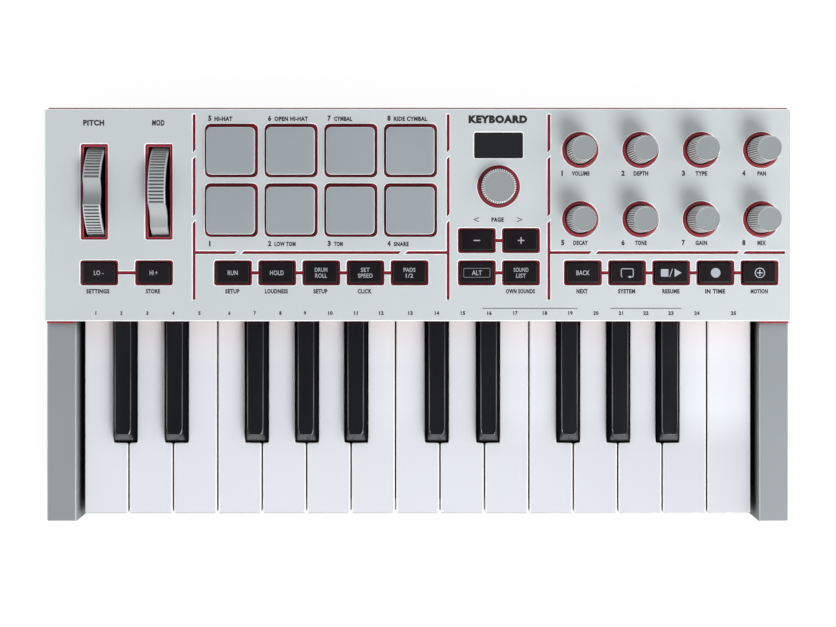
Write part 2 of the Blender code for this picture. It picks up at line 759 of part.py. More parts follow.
def build_circuit_boards(tails):
    outline = [
        (-165.0, 12.4),
        (168.0, 12.4),
        (168.0, 92.6),
        (-104.0, 92.6),
        (-104.0, 27.2),
        (-165.0, 27.2),
    ]
    board = make("circuit_boards", plate(outline, [], 26.2, 27.8), BOARD_GREEN)

    # on top: switches, pad sensors, display and encoders
    part_bottom = 27.0
    parts = [centred_box(x, y, 6.0, 6.0, part_bottom, 30.9) for x, y in BUTTONS.values()]
    parts += [centred_box(x, y, 20.0, 20.0, part_bottom, 31.4) for x, y in PADS]
    parts.append(centred_box(WINDOW_X, WINDOW_Y, 27.0, 14.6, part_bottom, 33.6))
    parts += [encoder_body(x, y, 10.0) for x, y in KNOBS]
    parts.append(encoder_body(*ENCODER, 12.0))
    # underneath: sockets at the rear, and chips
    jack_rear = 94.2
    parts += [
        # 6.35 mm footswitch jack
        box(FOOTSWITCH_X - 7.5, FOOTSWITCH_X + 7.5, 77.0, jack_rear, 12.6, 26.9),
        # 3.5 mm MIDI jack
        box(MIDI_X - 4.0, MIDI_X + 4.0, 80.0, jack_rear, 19.0, 26.8),
        # USB socket
        box(USB_X - 4.6, USB_X + 4.6, 84.5, jack_rear, 22.4, 26.7),
        # controller chip
        box(93.0, 107.0, 54.0, 68.0, 24.4, 26.9),
        # pad amplifier chip
        box(-40.0, -24.0, 62.0, 72.0, 24.8, 26.9),
    ]
    add(board, "board_parts_tool", parts)

    # key contact board in front, tied to the control board by a soldered ribbon
    ribbon_x = sum(tails[12]) / 2
    links = [
        box(ribbon_x - 3.6, ribbon_x + 3.6, 11.4, 12.8, 8.1, 27.1),
        box(ribbon_x - 4.0, ribbon_x + 4.0, -36.0, 12.0, 8.3, 9.0),
        box(-156.0, 156.0, -58.0, -34.0, 8.0, 9.6),
    ]
    for k, link in enumerate(links):
        add(board, f"board_link_{k}_tool", [link])

    # a contact dome under each key, white keys in the front row
    dome_places = [(x, -52.0) for x in WHITE_X] + [(x, -40.0) for _, _, x in BLACK_KEYS]
    domes = [centred_box(x, y, 5.0, 3.6, 9.0, 11.2) for x, y in dome_places]
    add(board, "contact_dome_tool", domes)


# ---------------------------------------------------------------- bottom case with end cheeks
FEET = [(-160.0, -84.0), (160.0, -84.0), (-160.0, 84.0), (160.0, 84.0)]
BOSSES = [
    (-166.0, 5.0), (166.0, 5.0), (-166.0, 34.0),
    (-98.0, 88.0), (4.0, 88.0), (166.0, 88.0),
]


def cut_case_hollows(case):
    """The open bay, the low front edge before the keys, and the hollow cheeks."""
    over = 40.0  # clear above the rim
    bay_front, step_y = -91.7, -1.0
    inner_side, inner_rear = SIDE_X - WALL, CASE_REAR - WALL
    bay = [
        (-CHEEK_INNER, bay_front),
        (CHEEK_INNER, bay_front),
        (CHEEK_INNER, step_y),
        (inner_side, step_y),
        (inner_side, inner_rear),
        (-inner_side, inner_rear),
        (-inner_side, step_y),
        (-CHEEK_INNER, step_y),
    ]
    cut(case, "case_bay_tool", [plate(bay, [], CASE_FLOOR, over)])
    cut(case, "case_front_tool", [box(-CHEEK_INNER, CHEEK_INNER, -99.0, -90.0, 8.4, over)])
    # kept just off the planes of the bay, so that no two cutter faces coincide
    offset = 0.05
    near, far = CHEEK_INNER + WALL, inner_side - offset
    extent = (-95.0, 1.0, CASE_FLOOR + offset, 31.2)
    cut(case, "case_hollow_tool", [box(near, far, *extent), box(-far, -near, *extent)])


def add_case_posts(case):
    """Round feet, screw bosses, and a pair of bearing posts for each wheel."""
    post_bottom = 4.2  # sunk into the floor, to fuse with it
    posts = [plate(circle(x, y, 7.0, 16), [], 0.0, 3.6) for x, y in FEET]
    posts += [plate(circle(x, y, 3.4, 10), [], post_bottom, 25.8) for x, y in BOSSES]
    for _, x, *_ in WHEELS:
        for post_x in (x - 6.9, x + 6.9):
            posts.append(centred_box(post_x, WHEEL_Y, 2.6, 12.0, post_bottom, 23.6))
    add(case, "case_post_tool", posts)


def cut_case_holes(case):
    """Screw holes, wheel bearings, and the openings for the rear sockets."""
    holes = [plate(circle(x, y, 1.9, 10), [], 1.0, 16.0) for x, y in BOSSES]
    holes += [bar_x(WHEEL_Y, WHEEL_Z, 3.35, 16, x - 9.2, x + 9.2) for _, x, *_ in WHEELS]
    through = (93.0, 99.0)  # y range that passes the rear wall
    # the round bars turn from X to Y, the USB plate from Z to Y
    holes.append(swap_axes(bar_x(FOOTSWITCH_X, 19.6, 5.0, 16, *through), (1, 0, 2)))
    holes.append(swap_axes(bar_x(MIDI_X, 22.6, 3.3, 12, *through), (1, 0, 2)))
    usb_outline = rounded(USB_X, 24.4, 9.4, 3.8, 1.8, 2)
    holes.append(swap_axes(plate(usb_outline, [], *through), (0, 2, 1)))
    cut(case, "case_hole_tool", holes)


def build_bottom_case():
    front_wall = -94.2  # outer face of the front wall between the cheeks
    corner_x, corner_y = SIDE_X - FRONT_CORNER, CASE_FRONT + FRONT_CORNER
    outline = [
        (-corner_x, CASE_FRONT),
        (-CHEEK_INNER, CASE_FRONT),
        (-CHEEK_INNER, front_wall),
        (CHEEK_INNER, front_wall),
        (CHEEK_INNER, CASE_FRONT),
        (corner_x, CASE_FRONT),
        (SIDE_X, corner_y),
        *rear_corners(),
        (-SIDE_X, corner_y),
    ]
    case = make("bottom_case", plate(outline, [], CASE_BOTTOM, CASE_RIM), CASE_GREY)
    cut_case_hollows(case)
    add_case_posts(case)
    cut_case_holes(case)


# ---------------------------------------------------------------- build
build_top_panel()
build_accent_plate()
build_display_window()
build_pad_sheet()
build_buttons()
build_knobs()
build_encoder()
build_wheels()
hook_cutter = make_hook_cutter()
tail_spans = sorted(build_white_keys(hook_cutter) + build_black_keys(hook_cutter))
build_key_frame(tail_spans)
build_circuit_boards(tail_spans)
build_bottom_case()
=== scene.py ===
"""Looks of the compact MIDI keyboard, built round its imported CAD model."""

import json
import math

import bpy
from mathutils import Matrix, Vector
from mathutils.geometry import delaunay_2d_cdt

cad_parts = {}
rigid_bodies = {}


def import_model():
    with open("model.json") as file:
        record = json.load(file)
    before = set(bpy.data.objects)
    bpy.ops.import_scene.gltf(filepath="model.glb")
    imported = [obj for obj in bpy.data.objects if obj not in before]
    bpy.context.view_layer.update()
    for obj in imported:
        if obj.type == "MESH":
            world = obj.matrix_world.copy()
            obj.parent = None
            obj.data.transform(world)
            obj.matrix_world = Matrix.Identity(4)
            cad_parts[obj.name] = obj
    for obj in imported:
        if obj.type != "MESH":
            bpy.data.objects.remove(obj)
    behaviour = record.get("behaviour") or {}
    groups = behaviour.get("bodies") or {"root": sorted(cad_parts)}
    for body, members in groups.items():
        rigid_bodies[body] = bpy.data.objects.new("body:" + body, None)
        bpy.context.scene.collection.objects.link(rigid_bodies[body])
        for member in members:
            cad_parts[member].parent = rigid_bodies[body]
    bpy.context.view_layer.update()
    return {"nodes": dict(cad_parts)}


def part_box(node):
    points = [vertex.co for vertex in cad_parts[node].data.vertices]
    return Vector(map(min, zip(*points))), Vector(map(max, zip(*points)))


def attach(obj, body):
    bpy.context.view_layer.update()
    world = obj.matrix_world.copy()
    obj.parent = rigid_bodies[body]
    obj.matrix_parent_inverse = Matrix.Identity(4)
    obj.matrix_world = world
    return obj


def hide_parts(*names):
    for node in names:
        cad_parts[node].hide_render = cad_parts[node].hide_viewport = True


for old in list(bpy.data.objects):
    bpy.data.objects.remove(old, do_unlink=True)

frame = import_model()
MM = 0.001
COL = bpy.context.scene.collection


# ------------------------------------------------------------------ node helpers
class Mat:
    """A Principled material with small helpers for procedural detail."""

    def __init__(self, name):
        self.m = bpy.data.materials.new(name)
        self.m.use_nodes = True
        self.nt = self.m.node_tree
        self.p = self.nt.nodes["Principled BSDF"]
        self.tc = self.nt.nodes.new("ShaderNodeTexCoord")

    def node(self, kind, **values):
        n = self.nt.nodes.new(kind)
        for key, value in values.items():
            if key in n.inputs:
                n.inputs[key].default_value = value
            else:
                setattr(n, key, value)
        return n

    def link(self, a, b):
        self.nt.links.new(a, b)

    def noise(self, scale, detail=3.0, rough=0.5, stretch=None):
        n = self.node("ShaderNodeTexNoise")
        n.inputs["Scale"].default_value = scale
        n.inputs["Detail"].default_value = detail
        n.inputs["Roughness"].default_value = rough
        source = self.tc.outputs["Object"]
        if stretch:
            mp = self.node("ShaderNodeMapping")
            mp.inputs["Scale"].default_value = stretch
            self.link(source, mp.inputs["Vector"])
            source = mp.outputs["Vector"]
        self.link(source, n.inputs["Vector"])
        return n.outputs["Fac"]

    def mix(self, fac, a, b):
        """Colour from a to b by fac, each a colour or a socket."""
        n = self.nt.nodes.new("ShaderNodeMix")
        n.data_type = "RGBA"
        for value, index in ((fac, 0), (a, 6), (b, 7)):
            if hasattr(value, "links") or hasattr(value, "is_output"):
                self.link(value, n.inputs[index])
            elif index == 0:
                n.inputs[0].default_value = value
            else:
                n.inputs[index].default_value = (*value, 1.0)
        return n.outputs[2]

    def span(self, socket, lo, hi, a=0.0, b=1.0):
        n = self.node("ShaderNodeMapRange")
        n.inputs["From Min"].default_value = lo
        n.inputs["From Max"].default_value = hi
        n.inputs["To Min"].default_value = a
        n.inputs["To Max"].default_value = b
        self.link(socket, n.inputs["Value"])
        return n.outputs["Result"]

    def bump(self, socket, strength, distance=0.0001, chain=None):
        n = self.node("ShaderNodeBump")
        n.inputs["Strength"].default_value = strength
        n.inputs["Distance"].default_value = distance
        self.link(socket, n.inputs["Height"])
        if chain is not None:
            self.link(chain, n.inputs["Normal"])
        return n.outputs["Normal"]


def plastic(
    name,
    colour,
    rough=0.45,
    grain=2600.0,
    depth=0.12,
    vary=0.035,
    coat=0.0,
    coat_rough=0.1,
    sub=0.0,
    sheen=0.0,
    spec=0.5,
    crest=None,
    painted_front_light=None,
    flank=False,
    painted_shade_reach=0.0,
    shade=(0.35, 0.75),
    painted_shade_colour=None,
    rim=None,
    rim_from=0.9992,
    rim_to=0.980,
    painted_edge_glow=0.0,
    painted_light_drift=(),
    lip=None,
):
    """Moulded plastic: spark-eroded grain, faint mottling and uneven gloss, with optional painted light: painted edge
    highlights, painted shade in hollows, and painted light and shade across the piece.
    """
    t = Mat(name)
    broad = t.span(t.noise(22.0, 4.0), 0.3, 0.7)
    fine = t.noise(grain, 2.0, 0.6)
    dark = tuple(c * (1 - vary) for c in colour)
    light = tuple(min(1.0, c * (1 + vary)) for c in colour)
    base = t.mix(broad, dark, light)
    speck = t.span(fine, 0.25, 0.75)
    base = t.mix(t.span(speck, 0.0, 1.0, 0.0, 0.35), base, light)
    for axis, start, end, tint in painted_light_drift:
        # painted light and shade: a slow drift of tint along the piece, in metres
        place = t.node("ShaderNodeSeparateXYZ")
        t.link(t.tc.outputs["Object"], place.inputs["Vector"])
        base = t.mix(t.span(place.outputs[axis], start, end), base, tint)
    if painted_front_light:
        # painted light and shade: faces turned to the front are painted lighter, faces turned to the rear darker
        geo = t.node("ShaderNodeNewGeometry")
        slope = t.node("ShaderNodeSeparateXYZ")
        t.link(geo.outputs["Normal"], slope.inputs["Vector"])
        base = t.mix(t.span(slope.outputs["Y"], -0.05, 0.62), base, painted_front_light[1])
        base = t.mix(t.span(slope.outputs["Y"], -0.05, -0.5), base, painted_front_light[0])
    if crest:
        # painted highlight on the ridges and painted shade in the grooves
        ridge = t.node("ShaderNodeAttribute", attribute_name="crest")
        height = ridge.outputs["Fac"]
        base = t.mix(t.span(height, 0.5, 0.0), base, crest[0])
        base = t.mix(t.span(height, 0.5, 1.0), base, crest[1])
    if rim:
        # painted highlight: the rounded edge between the flat top and the walls is painted lighter
        geo = t.node("ShaderNodeNewGeometry")
        tilt = t.node("ShaderNodeSeparateXYZ")
        t.link(geo.outputs["Normal"], tilt.inputs["Vector"])
        both = t.node("ShaderNodeMath", operation="MULTIPLY")
        t.link(t.span(tilt.outputs["Z"], rim_from, rim_to), both.inputs[0])
        t.link(t.span(tilt.outputs["Z"], 0.10, 0.35), both.inputs[1])
        base = t.mix(both.outputs[0], base, rim)
        if painted_edge_glow:
            # painted glow: the same rounded edge also emits a little light, a painted highlight
            t.p.inputs["Emission Color"].default_value = (1.0, 1.0, 1.0, 1.0)
            t.link(t.span(both.outputs[0], 0.0, 1.0, 0.0, painted_edge_glow), t.p.inputs["Emission Strength"])
    if lip:
        # painted shade: the edge farthest along one axis is painted darker, as if turned away from the light
        place = t.node("ShaderNodeSeparateXYZ")
        t.link(t.tc.outputs["Object"], place.inputs["Vector"])
        base = t.mix(t.span(place.outputs[lip[0]], lip[1], lip[2]), base, lip[3])
    if painted_shade_reach:
        # painted shade: the colour darkens towards a dark tint where ambient occlusion finds nearby surfaces
        ao = t.node("ShaderNodeAmbientOcclusion")
        ao.samples = 6
        ao.inputs["Distance"].default_value = painted_shade_reach
        base = t.mix(t.span(ao.outputs["AO"], *shade), painted_shade_colour or tuple(c * 0.04 for c in colour), base)
    t.link(base, t.p.inputs["Base Color"])
    wipe = t.noise(60.0, 5.0, 0.6, (1.0, 0.25, 1.0))
    rr = t.span(wipe, 0.25, 0.75, rough - 0.05, rough + 0.06)
    t.link(rr, t.p.inputs["Roughness"])
    normal = t.bump(fine, depth, 0.00006)
    normal = t.bump(t.noise(420.0, 2.0), depth * 0.25, 0.00005, normal)
    t.link(normal, t.p.inputs["Normal"])
    t.p.inputs["Specular IOR Level"].default_value = spec
    t.p.inputs["Coat Weight"].default_value = coat
    if flank:
        # the mould is polished on top and left satin on the steep sides
        geo = t.node("ShaderNodeNewGeometry")
        up = t.node("ShaderNodeSeparateXYZ")
        t.link(geo.outputs["Normal"], up.inputs["Vector"])
        t.link(t.span(up.outputs["Z"], 0.56, 0.68, 0.0, spec), t.p.inputs["Specular IOR Level"])
        t.link(t.span(up.outputs["Z"], 0.56, 0.68, 0.0, coat), t.p.inputs["Coat Weight"])
    t.p.inputs["Coat Roughness"].default_value = coat_rough
    t.p.inputs["Sheen Weight"].default_value = sheen
    if sub:
        t.p.inputs["Subsurface Weight"].default_value = sub
        t.p.inputs["Subsurface Radius"].default_value = (0.002, 0.0018, 0.0017)
        t.p.inputs["Subsurface Scale"].default_value = 1.0
    t.m.diffuse_color = (*colour, 1.0)
    return t.m


def metal(name, colour, rough=0.3, brushed=(1.0, 1.0, 30.0)):
    t = Mat(name)
    t.p.inputs["Metallic"].default_value = 1.0
    line = t.noise(900.0, 3.0, 0.6, brushed)
    t.link(
        t.mix(t.span(line, 0.3, 0.7), tuple(c * 0.85 for c in colour), colour),
        t.p.inputs["Base Color"],
    )
    t.link(t.span(line, 0.3, 0.7, rough - 0.08, rough + 0.1), t.p.inputs["Roughness"])
    t.link(t.bump(line, 0.15, 0.00003), t.p.inputs["Normal"])
    return t.m


KEY_FRONT_M = -0.0952
# panel: painted highlight, near-white and slightly glowing, on the rounded cut-out edges
PANEL = plastic("panel_white_plastic", (0.625, 0.678, 0.702), 0.42, 2400.0, 0.10, 0.02, rim=(0.95, 0.95, 0.95), painted_edge_glow=0.15)
# red plate: painted highlight on the lands' rounded edges, painted dark red shade where lands sit close to pads,
# buttons and knobs
RED = plastic("accent_red_plastic", (0.33, 0.011, 0.030), 0.30, 2200.0, 0.06, 0.06, coat=0.3, coat_rough=0.2, rim=(0.50, 0.06, 0.08), painted_shade_reach=0.003, shade=(0.20, 0.80), painted_shade_colour=(0.080, 0.001, 0.004))
# case: painted shade in corners and recesses, painted highlight on rounded edges
CASE = plastic("case_grey_plastic", (0.268, 0.299, 0.316), 0.5, 1700.0, 0.22, 0.03, painted_shade_reach=0.009, rim=(0.50, 0.53, 0.55))
# white keys: painted highlight on rounded edges, painted shade in the gaps and on the front edge, the right end
# painted darker and the left lighter, and the parts between the black keys and under the panel's edge painted lighter
WHITE = plastic("key_white_plastic", (0.790, 0.815, 0.872), 0.22, 3000.0, 0.02, 0.012, coat=0.5, coat_rough=0.06, sub=0.02, painted_shade_reach=0.004, shade=(0.20, 0.48), rim=(1.0, 1.0, 1.0), lip=("Y", KEY_FRONT_M + 0.0009, KEY_FRONT_M + 0.0002, (0.42, 0.43, 0.46)), painted_light_drift=(("X", 0.02, 0.20, (0.660, 0.680, 0.728)), ("X", 0.02, -0.20, (0.865, 0.89, 0.95)), ("Y", -0.064, -0.045, (0.870, 0.897, 0.960)), ("Y", -0.026, -0.002, (1.0, 1.0, 1.0))))
# black keys: painted reflection, the rear ends under the panel tinted dark red like the red plate's reflection
BLACK = plastic("key_black_plastic", (0.0085, 0.0090, 0.0120), 0.2, 3000.0, 0.03, 0.1, coat=0.35, coat_rough=0.06, flank=True, painted_light_drift=(("Y", -0.0055, -0.0015, (0.030, 0.004, 0.007)),))
# pads: painted shade tinted dark red low on the walls, standing in for shade and red light bounced off the plate;
# painted highlight on the rounded top edges
PADM = plastic("pad_grey_silicone", (0.338, 0.378, 0.406), 0.50, 2100.0, 0.25, 0.025, sub=0.10, sheen=0.2, painted_shade_reach=0.004, shade=(0.52, 0.93), painted_shade_colour=(0.12, 0.012, 0.025), rim=(0.85, 0.84, 0.84), rim_from=0.985, rim_to=0.90)
BUTTON = plastic("button_black_plastic", (0.0072, 0.0056, 0.0078), 0.36, 2400.0, 0.12, 0.08, spec=0.20)
KNOB = plastic("knob_grey_plastic", (0.315, 0.345, 0.360), 0.36, 2300.0, 0.10, 0.02)
# knob ribs: painted highlight on the crests, painted shade in the grooves
RIB = plastic("knob_rib_plastic", (0.40, 0.43, 0.445), 0.30, 2300.0, 0.08, 0.02, crest=((0.075, 0.085, 0.09), (0.96, 0.96, 0.96)))
# wheels: painted light on faces turned to the front and painted shade on those turned to the rear; painted highlight
# on the rib crests, painted shade in the grooves
WHEEL = plastic("wheel_silver_plastic", (0.36, 0.39, 0.405), 0.40, 2200.0, 0.08, 0.025, painted_front_light=((0.44, 0.465, 0.475), (0.18, 0.195, 0.205)), crest=((0.13, 0.145, 0.17), (0.66, 0.68, 0.69)))
RUBBER = plastic("foot_black_rubber", (0.018, 0.018, 0.018), 0.78, 1500.0, 0.35, 0.12, sheen=0.2)
DARK = plastic("dark_inner_plastic", (0.012, 0.012, 0.013), 0.6, 1600.0, 0.2, 0.1)
INK = plastic("printed_dark_ink", (0.005, 0.006, 0.007), 0.55, 3500.0, 0.08, 0.1)
INK_LIGHT = plastic("printed_light_ink", (0.44, 0.47, 0.52), 0.5, 3500.0, 0.08, 0.05)
STEEL = metal("turned_steel", (0.62, 0.62, 0.61), 0.28)
SCREW = metal("black_zinc_screw", (0.10, 0.10, 0.105), 0.35)


def board_material():
    """Solder mask with darker copper runs under it."""
    t = Mat("green_solder_mask")
    brick = t.node("ShaderNodeTexVoronoi")
    brick.inputs["Scale"].default_value = 260.0
    brick.distance = "CHEBYCHEV"
    t.link(t.tc.outputs["Object"], brick.inputs["Vector"])
    runs = t.span(brick.outputs["Distance"], 0.30, 0.34)
    t.link(
        t.mix(runs, (0.010, 0.075, 0.030), (0.018, 0.115, 0.045)), t.p.inputs["Base Color"]
    )
    t.p.inputs["Roughness"].default_value = 0.4
    t.p.inputs["Coat Weight"].default_value = 0.3
    t.link(t.bump(runs, 0.3, 0.00005), t.p.inputs["Normal"])
    return t.m


BOARD = board_material()


def glass_material():
    """Smoked acrylic over a dark display: a faint cell grid under a polished coat."""
    t = Mat("smoked_display_acrylic")
    sep = t.node("ShaderNodeSeparateXYZ")
    t.link(t.tc.outputs["Object"], sep.inputs["Vector"])
    lines = []
    for axis in ("X", "Y"):
        w = t.node("ShaderNodeMath", operation="MULTIPLY")
        t.link(sep.outputs[axis], w.inputs[0])
        w.inputs[1].default_value = 2 * math.pi / 0.00017
        s = t.node("ShaderNodeMath", operation="SINE")
        t.link(w.outputs[0], s.inputs[0])
        lines.append(t.span(s.outputs[0], 0.6, 1.0))
    both = t.node("ShaderNodeMath", operation="MAXIMUM")
    t.link(lines[0], both.inputs[0])
    t.link(lines[1], both.inputs[1])
    t.link(
        t.mix(both.outputs[0], (0.020, 0.021, 0.024), (0.024, 0.025, 0.028)),
        t.p.inputs["Base Color"],
    )
    smear = t.noise(35.0, 5.0, 0.65)
    t.link(t.span(smear, 0.35, 0.75, 0.12, 0.22), t.p.inputs["Roughness"])
    t.p.inputs["Coat Weight"].default_value = 1.0
    t.p.inputs["Coat Roughness"].default_value = 0.03
    return t.m


GLASS = glass_material()


# ------------------------------------------------------------------ mesh helpers (millimetres)
def piece(name, verts, faces, mat, body, nodes=(), slot=None, sharp=32.0, crest=None):
    mesh = bpy.data.meshes.new(name)
    mesh.from_pydata([(x * MM, y * MM, z * MM) for x, y, z in verts], [], faces)
    mesh.validate()
    mesh.update()
    mesh.materials.append(mat)
    mesh.set_sharp_from_angle(angle=math.radians(sharp))
    for p in mesh.polygons:
        p.use_smooth = len(p.vertices) != 3 and max(abs(c) for c in p.normal) < 0.99999
    if crest:
        mesh.attributes.new("crest", "FLOAT", "POINT").data.foreach_set("value", crest)
    obj = bpy.data.objects.new(name, mesh)
    COL.objects.link(obj)
    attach(obj, body)
    if nodes:
        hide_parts(*nodes)
    return obj


def area(loop):
    return 0.5 * sum(a[0] * b[1] - b[0] * a[1] for a, b in zip(loop, loop[1:] + loop[:1]))


def ccw(loop):
    return list(loop) if area(loop) > 0 else list(reversed(loop))


def fill(loops):
    points = [(p[0], p[1]) for loop in loops for p in loop]
    edges, start = [], 0
    for loop in loops:
        n = len(loop)
        edges += [(start + i, start + (i + 1) % n) for i in range(n)]
        start += n
    made = delaunay_2d_cdt([Vector(p) for p in points], edges, [], 0, 1e-6)
    first = [ids[0] for ids in made[3]]
    out = []
    spans = [(points[i], points[j]) for i, j in edges]
    for face in made[2]:
        a, b, c = (first[i] for i in face)
        (ax, ay), (bx, by), (cx, cy) = points[a], points[b], points[c]
        mx, my = (ax + bx + cx) / 3, (ay + by + cy) / 3
        inside = False
        for (x0, y0), (x1, y1) in spans:
            if (y0 > my) != (y1 > my) and mx < x0 + (my - y0) * (x1 - x0) / (y1 - y0):
                inside = not inside
        if inside:
            turn = (bx - ax) * (cy - ay) - (by - ay) * (cx - ax)
            out.append((a, b, c) if turn > 0 else (a, c, b))
    return out


def inset(loop, d):
    """The loop moved inwards by d with mitred corners."""
    if abs(d) < 1e-9:
        return list(loop)
    n, out = len(loop), []
    for i in range(n):
        (x0, y0), (x1, y1), (x2, y2) = loop[i - 1], loop[i], loop[(i + 1) % n]
        l0, l1 = math.hypot(x1 - x0, y1 - y0), math.hypot(x2 - x1, y2 - y1)
        nx0, ny0 = -(y1 - y0) / l0, (x1 - x0) / l0
        nx1, ny1 = -(y2 - y1) / l1, (x2 - x1) / l1
        k = 1 + nx0 * nx1 + ny0 * ny1
        k = max(k, 0.3)
        out.append((x1 + d * (nx0 + nx1) / k, y1 + d * (ny0 + ny1) / k))
    return out


def join(parts):
    verts, faces = [], []
    for v, f in parts:
        s = len(verts)
        verts += v
        faces += [tuple(i + s for i in face) for face in f]
    return verts, faces


def slab(outline, holes, z0, z1, rt=0.0, rb=0.0, steps=3):
    """A plate with holes whose top edges are rounded by rt and bottom edges by rb."""
    levels = []
    if rb:
        for k in range(steps + 1):
            a = math.pi / 2 * k / steps
            levels.append((z0 + rb * (1 - math.cos(a)), rb * (1 - math.sin(a))))
    else:
        levels.append((z0, 0.0))
    if rt:
        for k in range(steps + 1):
            a = math.pi / 2 * k / steps
            levels.append((z1 - rt * (1 - math.sin(a)), rt * (1 - math.cos(a))))
    else:
        levels.append((z1, 0.0))
    out = ccw(outline)
    ins = [ccw(h) for h in holes]
    verts, faces, starts = [], [], []
    for z, d in levels:
        starts.append(len(verts))
        for x, y in inset(out, d):
            verts.append((x, y, z))
        for h in ins:
            for x, y in inset(h, -d):
                verts.append((x, y, z))
    sizes = [len(out)] + [len(h) for h in ins]
    for lo, hi in zip(starts, starts[1:]):
        shift = 0
        for j, n in enumerate(sizes):
            for i in range(n):
                a, b = shift + i, shift + (i + 1) % n
                f = (lo + a, lo + b, hi + b, hi + a)
                faces.append(f if j == 0 else tuple(reversed(f)))
            shift += n
    for level, up in ((-1, True), (0, False)):
        s = starts[level]
        d = levels[level][1]
        loops = [inset(out, d)] + [inset(h, -d) for h in ins]
        for a, b, c in fill(loops):
            faces.append((s + a, s + b, s + c) if up else (s + a, s + c, s + b))
    return verts, faces


def loft(levels, cap0=True, cap1=True):
    """Skin through stacked 3-D loops of one length, counter-clockwise from above, bottom first."""
    n = len(levels[0])
    verts = [p for l in levels for p in l]
    faces = []
    for k in range(len(levels) - 1):
        for i in range(n):
            a, b = k * n + i, k * n + (i + 1) % n
            faces.append((a, b, b + n, a + n))
    if cap1:
        t = (len(levels) - 1) * n
        for a, b, c in fill([[(p[0], p[1]) for p in levels[-1]]]):
            faces.append((a + t, b + t, c + t))
    if cap0:
        for a, b, c in fill([[(p[0], p[1]) for p in levels[0]]]):
            faces.append((a, c, b))
    return verts, faces


def cover(outer, inner):
    """An open-bottomed shell from outer and inner stacks of loops, bottom first."""
    ov, of = loft(outer, cap0=False)
    iv, inf = loft(inner, cap0=False)
    verts = ov + iv
    s = len(ov)
    faces = list(of) + [tuple(i + s for i in reversed(f)) for f in inf]
    on, inn = len(outer[0]), len(inner[0])
    index = list(range(on)) + [s + i for i in range(inn)]
    for a, b, c in fill([[(p[0], p[1]) for p in outer[0]], [(p[0], p[1]) for p in inner[0]]]):
        faces.append((index[a], index[c], index[b]))
    return verts, faces


def arc(x, y, r, a0, a1, n):
    return [
        (
            x + r * math.cos(math.radians(a0 + (a1 - a0) * i / n)),
            y + r * math.sin(math.radians(a0 + (a1 - a0) * i / n)),
        )
        for i in range(n + 1)
    ]


def rounded(x, y, w, h, r, n=5):
    a, b = w / 2 - r, h / 2 - r
    return (
        arc(x + a, y - b, r, -90, 0, n)
        + arc(x + a, y + b, r, 0, 90, n)
        + arc(x - a, y + b, r, 90, 180, n)
        + arc(x - a, y - b, r, 180, 270, n)
    )


def circle(x, y, r, n=64):
    return [
        (x + r * math.cos(2 * math.pi * i / n), y + r * math.sin(2 * math.pi * i / n))
        for i in range(n)
    ]


def at(loop, z):
    return [(p[0], p[1], z) for p in loop]


def box(x0, x1, y0, y1, z0, z1, r=0.0):
    return slab([(x0, y0), (x1, y0), (x1, y1), (x0, y1)], [], z0, z1, r, r, 2)


def prism_x(profile, x0, x1, r=0.0):
    """A (y, z) profile extruded along X."""
    v, f = slab(profile, [], x0, x1, r, r, 2)
    return [(c, a, b) for a, b, c in v], f


def along_y(v, f):
    """Turns a plate drawn in X-Z with its depth along Z into one whose depth is along Y."""
    return [(a, c, b) for a, b, c in v], [tuple(reversed(face)) for face in f]


def centre(node):
    lo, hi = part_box(node)
    return (lo + hi) / 2 / MM, lo / MM, hi / MM


# ------------------------------------------------------------------ where the CAD puts things
Z_TOP = centre("top_panel")[2].z
_, P_LO, P_HI = centre("top_panel")
_, A_LO, A_HI = centre("accent_plate")
_, C_LO, C_HI = centre("bottom_case")
_, S_LO, S_HI = centre("pad_sheet")
PAD_X = [S_LO.x + 13.2 + 28.0 * i for i in range(4)]
PAD_Y = [S_LO.y + 13.2, S_HI.y - 13.2]
KNOBS = {f"knob_{i}": centre(f"knob_{i}")[0] for i in range(1, 9)}
ENC = centre("encoder_knob")[0]
WINDOW = centre("display_window")[0]
WHEELS = {n: centre(n) for n in ("pitch_wheel", "mod_wheel")}
BUTTONS = {n: centre(n)[0] for n in frame["nodes"] if n.startswith("button_")}
WHEEL_Y, WHEEL_Z, WHEEL_R, WHEEL_T = 57.9, 21.2, 24.5, 8.6
BTN_CUT, BTN_HOLE, BTN_CAP = (17.7, 11.7), (15.9, 10.0), (15.3, 9.4)
SLOT_CUT, SLOT_HOLE = (12.75, 44.8), (10.2, 42.4)
BTN_TOP = 38.6
PAD_CUT, PAD_HOLE, PAD_SIZE, PAD_TOP = (24.8, 25.05), (23.05, 22.65), (22.6, 22.2), 40.4
RING_R, ENC_RING_R = 8.5, 10.0
CHEEK = 161.2


def row_of_cuts(xs, y, w, h, r, link, n=4):
    a, b = w / 2 - r, h / 2 - r
    low, high = [], []
    for i, x in enumerate(xs):
        low += arc(x - a, y - b, r, 180, 270, n) + arc(x + a, y - b, r, 270, 360, n)
        if i < len(xs) - 1:
            low += [(x + w / 2, y - link / 2), (xs[i + 1] - w / 2, y - link / 2)]
    for i in reversed(range(len(xs))):
        x = xs[i]
        high += arc(x + a, y + b, r, 0, 90, n) + arc(x - a, y + b, r, 90, 180, n)
        if i > 0:
            high += [(x - w / 2, y + link / 2), (xs[i - 1] + w / 2, y + link / 2)]
    return low + high


ROWS = [
    ["button_octave_down", "button_octave_up"],
    ["button_arpeggiator", "button_latch", "button_note_repeat", "button_tap_tempo", "button_pad_bank"],
    ["button_undo", "button_loop", "button_play_stop", "button_record", "button_overdub"],
    ["button_minus", "button_plus"],
    ["button_shift", "button_preset"],
]
row_cuts = [
    row_of_cuts([BUTTONS[n].x for n in row], BUTTONS[row[0]].y, *BTN_CUT, 1.1, 1.5)
    for row in ROWS
]

